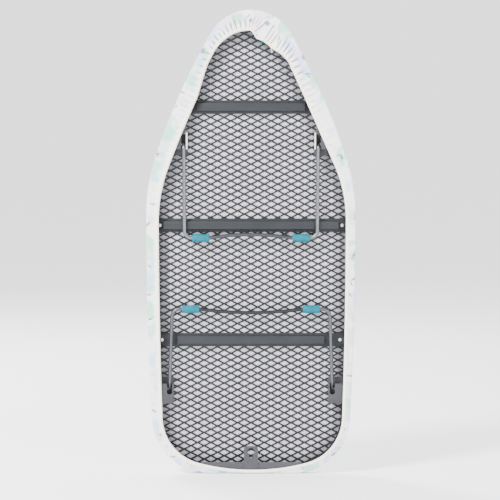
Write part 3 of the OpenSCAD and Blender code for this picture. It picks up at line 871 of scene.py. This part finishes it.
class IRONBOARD_OT_felt_pad(bpy.types.Operator):
    """Make the felt pad, which swells slightly into each opening of the mesh"""

    bl_idname = "ironing_board.felt_pad"
    bl_label = "Felt Pad"

    def execute(self, context):
        s = sizes()
        low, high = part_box("felt_pad")
        clear_selection()
        columns = round((high.x - low.x) / FELT_SPACING)
        rows = round((high.z - low.z) / FELT_SPACING)
        bpy.ops.mesh.primitive_grid_add(
            x_subdivisions=columns, y_subdivisions=rows, size=1.0, rotation=(math.pi / 2, 0.0, 0.0)
        )
        pad = context.object
        pad.scale = (high.x - low.x, high.z - low.z, 1.0)
        pad.location = ((low.x + high.x) / 2, PAD_FRONT_Y, (low.z + high.z) / 2)
        bpy.ops.object.transform_apply(location=True, rotation=True, scale=True)
        trim_to_loop(pad, inset_loop(board_loop(mm(6)), FELT_INSET))
        for v in pad.data.vertices:
            a = v.co.x / s.mesh_long + v.co.z / s.mesh_short
            b = v.co.x / s.mesh_long - v.co.z / s.mesh_short
            dome = abs(math.sin(math.pi * (a + 0.5)) * math.sin(math.pi * (b + 0.5)))
            v.co.y += FELT_SINK - FELT_SWELL * min(1.0, 1.6 * dome)
        self.paint_hem_shade(pad)
        bpy.ops.object.mode_set(mode="EDIT")
        bpy.ops.mesh.select_all(action="SELECT")
        depth = PAD_BACK_Y - PAD_FRONT_Y - mm(0.6)
        bpy.ops.mesh.extrude_region_move(TRANSFORM_OT_translate={"value": (0.0, depth, 0.0)})
        face_outwards()
        grey = colours().felt
        finish_piece(
            pad, "felt_underlay",
            # The darker tone is the painted shade laid along the hem
            finish_of("needled_polyester_felt", needled_felt, grey, tone(grey, 0.36)),
            ["felt_pad"], smooth=60,
        )
        return {"FINISHED"}

    def paint_hem_shade(self, pad):
        """Paints shade on the felt that lies close to the hem, darkest next to it."""
        co = np.array([v.co for v in pad.data.vertices])[:, [0, 2]]
        loop = hem_loop(mm(4))[0]
        gap = np.sqrt(((co[:, None, :] - loop[None, :, :]) ** 2).sum(2)).min(1)
        amount = FELT_SHADE_STRENGTH * (1 - eased(gap, FELT_SHADE_NEAR, FELT_SHADE_FAR))
        mark_points(pad, "edge", [(value, value, value) for value in amount])


def nearest_on(loop, points):
    """For each point, the nearest place on a dense closed loop."""
    distance = ((points[:, None, :] - loop[None, :, :]) ** 2).sum(2)
    return loop[distance.argmin(1)]


def smooth_closed(values, passes):
    """Evens out a closed loop of points, each pass with its two neighbours."""
    for _ in range(passes):
        values = (np.roll(values, 1, axis=0) + 2 * values + np.roll(values, -1, axis=0)) / 4
    return values


def gather_amount(z, x):
    """How strongly the cloth is gathered at a place: most at the nose, little on the long sides."""
    nose = np.clip((z - mm(560)) / mm(130), 0, 1)
    taper = np.clip((z - mm(430)) / mm(120), 0, 1)
    corner = np.clip((mm(95) - z) / mm(60), 0, 1) * np.clip((np.abs(x) - mm(40)) / mm(50), 0, 1)
    return 0.09 + 0.91 * nose + 0.2 * taper * (1 - nose) + 0.3 * corner


def pleats(distance, pitch_mm, seed):
    """Uneven folds along the edge, round on top and sharp in the valleys, between -1 and 1."""
    drift = 1.3 * np.sin(distance / mm(47) + seed) + 0.9 * np.sin(distance / mm(19.7) + 2.1 * seed)
    phase = distance / mm(pitch_mm) * math.tau / 2 + drift
    size = 0.66 + 0.2 * np.sin(distance / mm(31) + 3.3 * seed)
    size = size + 0.14 * np.sin(distance / mm(8.7) + seed)
    return size * (2 * np.abs(np.sin(phase)) ** 0.9 - 1)


def fold_shade_depth(fold, level, gather):
    """How deep in a fold each place lies, as the amount of shade painted there, and nothing where
    the cloth isn't gathered.
    """
    return np.clip(level - fold, 0, 1) * np.clip(gather * 1.2, 0, 1) ** 1.6


def paced(loop):
    """Thins a dense loop, close where the cloth is gathered and wider where it lies flat."""
    points, normals = loop
    step = mm(1.75) - mm(0.9) * np.clip(gather_amount(points[:, 1], points[:, 0]), 0, 1)
    run = np.linalg.norm(points - np.roll(points, 1, axis=0), axis=1)
    share = np.cumsum(run / step)
    pick = np.searchsorted(share, np.linspace(share[0], share[-1], int(share[-1]), endpoint=False))
    return points[pick], normals[pick], np.cumsum(run)[pick]


# Spacing of the loops that are thinned to the cloth's rows
DENSE = mm(0.25)


def cloth_rows():
    """The hem's and the board's matched loops, with the distance along the edge."""
    outer, normals, along = paced(board_loop(DENSE))
    inner = smooth_closed(nearest_on(hem_loop(mm(0.5))[0], outer), 5)
    return outer, normals, inner, along


# The cover: how far the cloth lies inside the CAD's face and sides, its radius round the felt's
# edge and round the rim, and its thickness
FACE_SINK = mm(0.4)
SIDE_SINK = mm(0.3)
ROUND_BACK = mm(4.5)
ROUND_FRONT = mm(2.6)
CLOTH_THICKNESS = mm(0.45)

# Its slight waves over the felt, the height of its pleats, and the pitch of its folds and of its
# slow waves in mm
FACE_CROWN = mm(0.35)
PLEAT_HEIGHT = mm(2.9)
FOLD_PITCH = 9.6
WAVE_PITCH = 31.0

# Cloth that a quarter turn takes up, over the radius it turns at
QUARTER_ARC = 1.57

# Where the rows of the cloth lie: shares of the way out along the face, down the side and in along
# the skirt, and degrees round the two edges between them
FACE_ROWS = (0.0, 0.12, 0.3, 0.5, 0.7, 0.85, 0.95, 1.0)
BACK_ANGLES = (20, 40, 60, 80)
SIDE_ROWS = (0.15, 0.4, 0.65, 0.9)
FRONT_ANGLES = (15, 45, 75)
SKIRT_ROWS = (0.07, 0.15, 0.23, 0.31, 0.39, 0.47, 0.55, 0.63, 0.71, 0.79, 0.87, 0.94)


class IRONBOARD_OT_cover(bpy.types.Operator):
    """Make the printed cover: its face, its rounded edge and the skirt gathered to the hem"""

    bl_idname = "ironing_board.cover"
    bl_label = "Printed Cover"

    def execute(self, context):
        outer, normals, inner, along = cloth_rows()
        count = len(outer)
        z = outer[:, 1]
        gather = gather_amount(inner[:, 1], inner[:, 0])
        fold = pleats(along, FOLD_PITCH, 0.4)
        slow = pleats(along, WAVE_PITCH, 1.9)
        depth_start = 0.16 + 0.14 * np.sin(along / mm(11.3)) * np.sin(along / mm(4.1) + 1.0)
        spine = np.stack([np.zeros(count), np.clip(z, mm(120), mm(640))], axis=1)
        rows, flat, marks = [], [], []

        def add_row(xz, y, cloth, tape=0.0, painted_fold_shade=0.0):
            rows.append(np.stack([xz[:, 0], y, xz[:, 1]], axis=1))
            flat.append(cloth)
            marks.append(np.stack([np.zeros(count) + tape, np.zeros(count) + painted_fold_shade], axis=1))

        ones = np.ones(count)
        edge = outer - normals * ROUND_BACK
        for t in FACE_ROWS:
            xz = spine + (edge - spine) * t
            crown = FACE_CROWN * np.sin(xz[:, 0] / mm(37)) * np.sin(xz[:, 1] / mm(53) + 1.0)
            add_row(xz, (FACE_Y - FACE_SINK) * ones + crown * (1 - t ** 4), xz)
        for a in BACK_ANGLES:
            rad = math.radians(a)
            xz = outer - normals * ROUND_BACK * (1 - math.sin(rad))
            y = FACE_Y - FACE_SINK - ROUND_BACK * (1 - math.cos(rad))
            add_row(xz, y * ones, outer + normals * (ROUND_BACK * (rad - 1)))
        side_top = FACE_Y - FACE_SINK - ROUND_BACK
        side_low = LIP_FRONT_Y + ROUND_FRONT
        for t in SIDE_ROWS:
            y = side_top + (side_low - side_top) * t
            pull = mm(0.5) * math.sin(math.pi * t)
            ripple = mm(0.35) * gather * fold * t
            xz = outer - normals * (pull + SIDE_SINK + ripple)[:, None]
            add_row(xz, y * ones, outer + normals * (ROUND_BACK * 0.57 + side_top - y))
        wrapped = ROUND_BACK * 0.57 + side_top - side_low
        for a in FRONT_ANGLES:
            rad = math.radians(a)
            inset = ROUND_FRONT * (1 - math.cos(rad)) + SIDE_SINK
            ripple = mm(0.5) * gather * fold
            xz = outer - normals * (inset + ripple * 0.6)[:, None]
            y = side_low - ROUND_FRONT * math.sin(rad) - ripple * math.sin(rad)
            add_row(xz, y, outer + normals * (wrapped + ROUND_FRONT * rad))
        wrapped += ROUND_FRONT * QUARTER_ARC
        start = outer - normals * (ROUND_FRONT + SIDE_SINK)
        reach = np.linalg.norm(inner - start, axis=1)
        depth = BINDING_FRONT_Y - LIP_FRONT_Y
        tangent = np.stack([-normals[:, 1], normals[:, 0]], axis=1)
        for t in SKIRT_ROWS:
            deep = eased(t, depth_start, depth_start + 0.4)
            belly = math.sin(math.pi * t)
            swell = mm(1.0) * belly * (0.5 + slow * 0.5)
            height = PLEAT_HEIGHT * deep * gather * fold + mm(0.8) * gather * slow * belly
            sideways = mm(1.0) * gather * np.roll(fold, 3) * deep
            xz = start + (inner - start) * t + tangent * sideways[:, None]
            y = LIP_FRONT_Y + depth * 0.55 * t * t - swell - height
            on_top = 0.5 + 0.5 * np.clip(fold + 1 - gather, 0, 1)
            tape = eased(t, 0.35 + 0.1 * slow, 0.8) * on_top
            # Painted shade down in the folds, carried in the green mark
            painted_fold_shade = np.clip(1.25 * fold_shade_depth(fold, 0.35, gather) * deep * (1.1 - 0.5 * t), 0, 0.95)
            add_row(xz, y, outer + normals * (wrapped + reach * t)[:, None], tape, painted_fold_shade)
        vertices = np.concatenate(rows)
        faces = []
        for r in range(0, (len(rows) - 1) * count, count):
            for k in range(count):
                n = (k + 1) % count
                faces.append((r + k, r + n, r + count + n, r + count + k))
        cover = new_mesh("cover", vertices, faces)
        cloth = np.concatenate([np.broadcast_to(f, (count, 2)) for f in flat])
        layer = cover.data.uv_layers.new(name="cloth")
        for corner in cover.data.loops:
            layer.data[corner.index].uv = cloth[corner.vertex_index]
        mark_points(cover, "hem", [(red, green, 0.0) for red, green in np.concatenate(marks)])
        face_outwards(merge=mm(0.02))
        thick = cover.modifiers.new("cloth", "SOLIDIFY")
        thick.thickness = CLOTH_THICKNESS
        thick.offset = -1.0
        apply_all(cover)
        finish_piece(
            cover, "printed_cover",
            finish_of("printed_woven_cotton", printed_cotton, colours(), coordinates="UV"),
            ["cover_top", "cover_skirt"], smooth=80,
        )
        return {"FINISHED"}


# The binding: half its thickness, the pitch of its gathers and slow waves in mm, the points round
# it, how far it lies under the hem's middle, and the length of cloth round it
TAPE_HALF = mm(1.75)
TAPE_PITCH = 4.6
TAPE_WAVE_PITCH = 37.0
TAPE_SIDES = 10
TAPE_SINK = mm(0.4)
TAPE_ROUND = mm(14)


class IRONBOARD_OT_binding(bpy.types.Operator):
    """Make the gathered binding that holds the draw cord along the hem"""

    bl_idname = "ironing_board.binding"
    bl_label = "Gathered Binding"

    def execute(self, context):
        points, normals, along = paced(hem_loop(DENSE))
        count = len(points)
        gather = gather_amount(points[:, 1], points[:, 0])
        fold = pleats(along, TAPE_PITCH, 0.8)
        slow = pleats(along, TAPE_WAVE_PITCH, 2.6)
        half_w = sizes().binding_width / 2
        centre = points + normals * (half_w + mm(0.4) * gather * slow)[:, None]
        middle_y = (BINDING_FRONT_Y + RIM_FRONT_Y) / 2 - TAPE_SINK
        rows = []
        for side in range(TAPE_SIDES):
            a = math.tau * side / TAPE_SIDES
            fat = 1 + 0.22 * gather * fold * (0.6 + 0.4 * math.sin(a + 1))
            across = half_w * math.cos(a) * fat
            lift = TAPE_HALF * math.sin(a) * (1 + 0.5 * gather * fold) + mm(0.6) * gather * fold
            xz = centre + normals * across[:, None]
            rows.append(np.stack([xz[:, 0], middle_y - lift, xz[:, 1]], axis=1))
        vertices = np.concatenate(rows)
        faces = []
        for side in range(TAPE_SIDES):
            r, m = side * count, (side + 1) % TAPE_SIDES * count
            for k in range(count):
                n = (k + 1) % count
                faces.append((r + k, m + k, m + n, r + n))
        binding = new_mesh("binding", vertices, faces)
        layer = binding.data.uv_layers.new(name="tape")
        for corner in binding.data.loops:
            side, k = divmod(corner.vertex_index, count)
            layer.data[corner.index].uv = (along[k], side / TAPE_SIDES * TAPE_ROUND)
        # Painted shade down between the gathers
        painted_fold_shade = 0.7 * fold_shade_depth(fold, 0.2, gather)
        mark_points(binding, "hem", [(0.0, green, 0.0) for green in painted_fold_shade] * TAPE_SIDES)
        face_outwards()
        finish_piece(
            binding, "hem_tape",
            finish_of("gathered_cotton_tape", gathered_tape, colours().binding, coordinates="UV"),
            ["hem_binding"], smooth=80,
        )
        return {"FINISHED"}


def tube_along(name, points, radius, resolution):
    """A round bar along points, as a curve turned into a mesh."""
    data = bpy.data.curves.new(name, "CURVE")
    data.dimensions = "3D"
    data.bevel_depth = radius
    data.bevel_resolution = resolution
    data.use_fill_caps = True
    spline = data.splines.new("POLY")
    spline.points.add(len(points) - 1)
    for spot, p in zip(spline.points, points):
        spot.co = (*p, 1.0)
    obj = bpy.data.objects.new(name, data)
    bpy.context.scene.collection.objects.link(obj)
    make_active(obj)
    bpy.ops.object.convert(target="MESH")
    return bpy.context.object


def bend(a, b, c, radius, steps):
    """Points round a bend at b on the way from a to c."""
    a, b, c = Vector(a), Vector(b), Vector(c)
    u, v = (a - b).normalized(), (c - b).normalized()
    half = u.angle(v) / 2
    centre = b + (u + v).normalized() * (radius / math.sin(half))
    reach = radius / math.tan(half)
    p, q = b + u * reach - centre, b + v * reach - centre
    turn = math.pi - 2 * half
    shares = [k / steps for k in range(steps + 1)]
    return [
        centre + (p * math.sin((1 - f) * turn) + q * math.sin(f * turn)) / math.sin(turn)
        for f in shares
    ]


# Each leg: the way from its pivot to its foot, its corner's reach past the sleeve, its pivot's
# reach past the corner, and the length of its knee, where None is as long as the step is deep
LEG_BENDS = {
    "nose": (-1, mm(12), mm(1.0), None),
    "rear": (1, mm(15.8), mm(3.7), mm(11)),
}

# The radius of each bend on a wire's middle line, how far the pin stops short of the CAD's, and the
# bow of the foot and the steps that draw it
PIN_RADIUS, KNEE_RADIUS, CORNER_RADIUS = mm(3.3), mm(5), mm(12)
PIN_SHORT = mm(0.4)
FOOT_BOW = mm(5.5)
FOOT_STEPS = 28


class IRONBOARD_OT_legs(bpy.types.Operator):
    """Make the two U-shaped legs of bent wire, each pivot end turned out into its bracket"""

    bl_idname = "ironing_board.legs"
    bl_label = "Wire Legs"

    def execute(self, context):
        radius = sizes().wire_diameter / 2
        for leg, (towards_foot, corner_reach, pivot_reach, knee_length) in LEG_BENDS.items():
            low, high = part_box(leg + "_leg_wire")
            sleeve_low, sleeve_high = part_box(f"foot_sleeve_{leg}_right")
            foot_z = (sleeve_low.z + sleeve_high.z) / 2
            foot_y = (sleeve_low.y + sleeve_high.y) / 2
            pivot_z = low.z + radius if towards_foot > 0 else high.z - radius
            pivot_y = high.y - radius
            foot_x = sleeve_high.x + corner_reach
            pivot_x = foot_x + pivot_reach
            pin_end = Vector((high.x - PIN_SHORT, pivot_y, pivot_z))
            elbow = Vector((pivot_x, pivot_y, pivot_z))
            knee_run = knee_length or pivot_y - foot_y
            knee = Vector((pivot_x, foot_y, pivot_z + towards_foot * knee_run))
            corner = Vector((foot_x, foot_y, foot_z))
            inner = Vector((sleeve_low.x, foot_y, foot_z))
            half = [pin_end] + bend(pin_end, elbow, knee, PIN_RADIUS, 8)
            half += bend(elbow, knee, corner, KNEE_RADIUS, 6)
            half += bend(knee, corner, inner, CORNER_RADIUS, 10) + [inner]
            bow = FOOT_BOW * -towards_foot
            middle = []
            for k in range(1, FOOT_STEPS):
                f = 2 * k / FOOT_STEPS - 1
                middle.append(Vector((-f * inner.x, foot_y, foot_z + bow * (1 - f * f))))
            other = [Vector((-p.x, p.y, p.z)) for p in reversed(half)]
            wire = tube_along(leg + "_leg", half + middle + other, radius - mm(0.02), 7)
            # The nose leg gets the lighter tone and the rear leg the darker one, as painted light
            # and shade
            plating = colours().wire_nose if leg == "nose" else colours().wire_rear
            finish_piece(
                wire, f"{leg}_leg_bent_wire",
                finish_of(f"satin_plated_wire_{leg}", plated_wire, plating, sleeve_low.x),
                [leg + "_leg_wire"], body=leg + "_leg", smooth=60,
            )
        return {"FINISHED"}


class IRONBOARD_OT_sleeves(bpy.types.Operator):
    """Make the four soft foot sleeves, hollow at the ends"""

    bl_idname = "ironing_board.sleeves"
    bl_label = "Foot Sleeves"

    def execute(self, context):
        for leg, side in LEG_SIDES:
            node = f"foot_sleeve_{leg}_{side}"
            low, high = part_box(node)
            centre = (low + high) / 2
            radius, length = (high.z - low.z) / 2, high.x - low.x
            clear_selection()
            bpy.ops.mesh.primitive_cylinder_add(
                vertices=40, radius=radius, depth=length, end_fill_type="NGON",
                location=centre, rotation=(0.0, math.pi / 2, 0.0),
            )
            sleeve = context.object
            bpy.ops.object.transform_apply(location=True, rotation=True, scale=True)
            bpy.ops.object.mode_set(mode="EDIT")
            bpy.ops.mesh.select_mode(type="FACE")
            bpy.ops.mesh.select_all(action="DESELECT")
            bpy.ops.object.mode_set(mode="OBJECT")
            for face in sleeve.data.polygons:
                face.select = abs(face.normal.x) > 0.9
            bpy.ops.object.mode_set(mode="EDIT")
            bpy.ops.mesh.inset(thickness=mm(2.0), depth=0.0)
            bpy.ops.mesh.inset(thickness=mm(0.5), depth=mm(-2.5))
            bpy.ops.object.mode_set(mode="OBJECT")
            soft = sleeve.modifiers.new("soft_edge", "BEVEL")
            soft.width = mm(0.9)
            soft.segments = 3
            soft.limit_method = "ANGLE"
            soft.angle_limit = math.radians(40)
            apply_all(sleeve)
            finish_piece(
                sleeve, f"foot_{leg}_{side}_vinyl",
                finish_of("turquoise_dipped_vinyl", soft_vinyl, colours().sleeve),
                [node], body=leg + "_leg", smooth=50,
            )
        return {"FINISHED"}


class IRONBOARD_OT_sheet_metal(bpy.types.Operator):
    """Round the pressed edges of the rim, bars, plates and brackets and coat them"""

    bl_idname = "ironing_board.sheet_metal"
    bl_label = "Pressed Steel"

    def execute(self, context):
        c = colours()
        coat = finish_of("powder_coated_mesh_steel", powder_coat, c.mesh)
        bar_coat = finish_of("powder_coated_rolled_bar", rolled_bar, c.bar)
        plate_coat = finish_of("powder_coated_plate", powder_coat, c.plate)
        bracket_coat = finish_of("powder_coated_bracket", powder_coat, c.bracket, 0.5)
        zinc = finish_of("bright_zinc_plate", zinc_plate, c.zinc)
        # CAD node, name, rounding of its edges in mm, finish and slot
        jobs = [("frame_rim", "pressed_rim", 0.3, coat, "rim_steel")]
        for place in ("nose", "middle", "rear"):
            jobs.append((f"cross_bar_{place}", f"pressed_bar_{place}", 0.45, bar_coat, "bar_steel"))
        jobs.append(("tail_plate", "pressed_tail_plate", 0.35, plate_coat, "plate_steel"))
        jobs.append(("hang_tab", "pressed_hang_tab", 0.3, plate_coat, "plate_steel"))
        for leg, side in LEG_SIDES:
            node = f"bracket_{leg}_{side}"
            jobs.append((node, "pressed_" + node, 0.35, bracket_coat, "bracket_steel"))
        jobs.append(("cross_bar_rivets", "zinc_rivets_bars", 0.3, zinc, "rivet_steel"))
        jobs.append(("bracket_rivets", "zinc_rivets_brackets", 0.3, zinc, "rivet_steel"))
        for node, name, bevel, material, slot in jobs:
            piece = refined_copy(node, bevel)
            finish_piece(piece, name, material, [node], smooth=40)
            # The nose brackets get a painted highlight on their inner strip
            if node.startswith("bracket_nose"):
                self.paint_edge_highlight(piece, node)
        return {"FINISHED"}

    def paint_edge_highlight(self, piece, node):
        """Gives the bracket's proud inner strip its painted pale highlight."""
        low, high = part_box(node)
        inner = min(abs(low.x), abs(high.x))
        piece.data.materials.append(finish_of("rubbed_bracket_edge", painted_edge_highlight, colours().rubbed))
        for face in piece.data.polygons:
            if abs(face.center.x) < inner + mm(2.6) and face.center.y < low.y + mm(1.0):
                face.material_index = 1


class IRONBOARD_OT_cord(bpy.types.Operator):
    """Make the draw cord, its lock and the lock's button and spring"""

    bl_idname = "ironing_board.cord"
    bl_label = "Draw Cord and Lock"

    def execute(self, context):
        c = colours()
        plastic = finish_of("moulded_teal_plastic", moulded_plastic, c.lock)
        zinc = finish_of("bright_zinc_plate", zinc_plate, c.zinc)
        body = refined_copy("cord_lock_body", 0.8, 3)
        finish_piece(body, "cord_lock_barrel", plastic, ["cord_lock_body"])
        button = refined_copy("cord_lock_plunger", 0.6, 3)
        finish_piece(
            button, "cord_lock_button", plastic, ["cord_lock_plunger"],
            body="lock_button",
        )
        spring = refined_copy("cord_lock_spring", 0)
        finish_piece(spring, "cord_lock_coil", zinc, ["cord_lock_spring"], smooth=80)
        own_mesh(spring)
        cord = refined_copy("draw_cord", 0)
        self.pull_cord(cord)
        layer = cord.data.uv_layers.new(name="braid")
        for corner in cord.data.loops:
            v = cord.data.vertices[corner.vertex_index].co
            layer.data[corner.index].uv = (v.x + v.z, v.y * 100)
        finish_piece(
            cord, "draw_cord_braid",
            finish_of(
                # The second colour is the painted shade between the strands
                "braided_polyester_cord", braided_cord, linear("#f2f1ec"), linear("#c2c1bb"),
                coordinates="UV",
            ),
            ["draw_cord"], smooth=80,
        )
        return {"FINISHED"}

    def pull_cord(self, cord):
        """Moves the cord with the hem that holds it, all but the stretch at the lock."""
        loop, normals = hem_loop(mm(1), pulled=False)
        pull = pull_of_cord(loop, normals)
        for v in cord.data.vertices:
            at_lock = float(eased(v.co.x, mm(1), mm(9))) * float(eased(v.co.z, mm(600), mm(650)))
            nearest = ((loop - np.array([v.co.x, v.co.z])) ** 2).sum(1).argmin()
            v.co.x += pull[nearest][0] * (1 - at_lock)
            v.co.z += pull[nearest][1] * (1 - at_lock)


STUDIO_LIGHT = 2.1

# Soft lights: name, place in metres, width in metres and power in watts
SOFTBOXES = (
    ("key_softbox", (-1.8, -2.0, 2.6), 0.9, 300.0),
    ("fill_softbox", (1.9, -2.2, 0.9), 1.8, 40.0),
    ("back_softbox", (-1.4, 2.2, 2.4), 1.0, 160.0),
)

# The camera: its distance, its tilt, the middle of its view, and the view's height over the board's
CAMERA_DISTANCE = 3.2
CAMERA_LIFT = math.radians(2.5)
CAMERA_AIM = (mm(-1.5), 0.0, mm(353))
VIEW_PER_BOARD = 500 / 463
SENSOR_WIDTH = 36.0


class IRONBOARD_OT_stage(bpy.types.Operator):
    """Set up the pale floor, the soft lights and the camera"""

    bl_idname = "ironing_board.stage"
    bl_label = "Studio"

    def execute(self, context):
        clear_selection()
        bpy.ops.mesh.primitive_plane_add(size=60.0, location=(0.0, 0.0, mm(-0.3)))
        floor = context.object
        floor.name = "studio_floor"
        floor.data.materials.append(
            finish_of("matt_studio_floor", pale_floor, colours().floor, STUDIO_LIGHT * 0.1)
        )
        world = bpy.data.worlds.new("studio")
        context.scene.world = world
        world.use_nodes = True
        background = world.node_tree.nodes["Background"]
        background.inputs["Color"].default_value = (1.0, 1.0, 1.0, 1.0)
        background.inputs["Strength"].default_value = STUDIO_LIGHT
        middle = Vector((0.0, 0.0, BOARD_LENGTH / 2))
        for name, place, size, power in SOFTBOXES:
            clear_selection()
            bpy.ops.object.light_add(type="AREA", location=place)
            lamp = context.object
            lamp.name = name
            lamp.data.shape = "DISK"
            lamp.data.size = size
            lamp.data.energy = power
            lamp.rotation_mode = "QUATERNION"
            lamp.rotation_quaternion = (Vector(place) - middle).to_track_quat("Z", "Y")
        self.add_camera(context)
        return {"FINISHED"}

    def add_camera(self, context):
        """A long lens, square on to the folded board, a little above its middle."""
        clear_selection()
        aim = Vector(CAMERA_AIM)
        bpy.ops.object.camera_add()
        camera = context.object
        camera.name = "board_camera"
        away = Vector((0.0, -math.cos(CAMERA_LIFT), math.sin(CAMERA_LIFT)))
        camera.location = aim + away * CAMERA_DISTANCE
        camera.rotation_mode = "QUATERNION"
        camera.rotation_quaternion = (camera.location - aim).to_track_quat("Z", "Y")
        camera.data.sensor_width = SENSOR_WIDTH
        camera.data.lens = SENSOR_WIDTH * CAMERA_DISTANCE / (BOARD_LENGTH * VIEW_PER_BOARD)
        camera.data.clip_start = 0.05
        camera.data.clip_end = 200.0
        context.scene.camera = camera


OPERATORS = (
    IRONBOARD_OT_stage, IRONBOARD_OT_cord, IRONBOARD_OT_sheet_metal, IRONBOARD_OT_mesh_panel,
    IRONBOARD_OT_felt_pad, IRONBOARD_OT_cover, IRONBOARD_OT_binding, IRONBOARD_OT_legs,
    IRONBOARD_OT_sleeves,
)


class IRONBOARD_PT_panel(bpy.types.Panel):
    """Lists the pieces of the ironing board."""

    bl_label = "Ironing Board"
    bl_idname = "IRONBOARD_PT_panel"
    bl_space_type = "VIEW_3D"
    bl_region_type = "UI"
    bl_category = "Ironing Board"

    def draw(self, context):
        for operator in OPERATORS:
            self.layout.operator(operator.bl_idname)
        for group in (sizes(), colours()):
            box = self.layout.box()
            for name in group.bl_rna.properties.keys():
                if name not in ("rna_type", "name"):
                    box.prop(group, name)


CLASSES = (BoardSizes, BoardColours) + OPERATORS + (IRONBOARD_PT_panel,)


def register():
    for cls in CLASSES:
        bpy.utils.register_class(cls)
    bpy.types.Scene.ironing_board_sizes = bpy.props.PointerProperty(type=BoardSizes)
    bpy.types.Scene.ironing_board_colours = bpy.props.PointerProperty(type=BoardColours)


def unregister():
    del bpy.types.Scene.ironing_board_colours
    del bpy.types.Scene.ironing_board_sizes
    for cls in reversed(CLASSES):
        bpy.utils.unregister_class(cls)


def main():
    register()
    for operator in OPERATORS:
        group, name = operator.bl_idname.split(".")
        getattr(getattr(bpy.ops, group), name)()


if __name__ == "__main__":
    main()
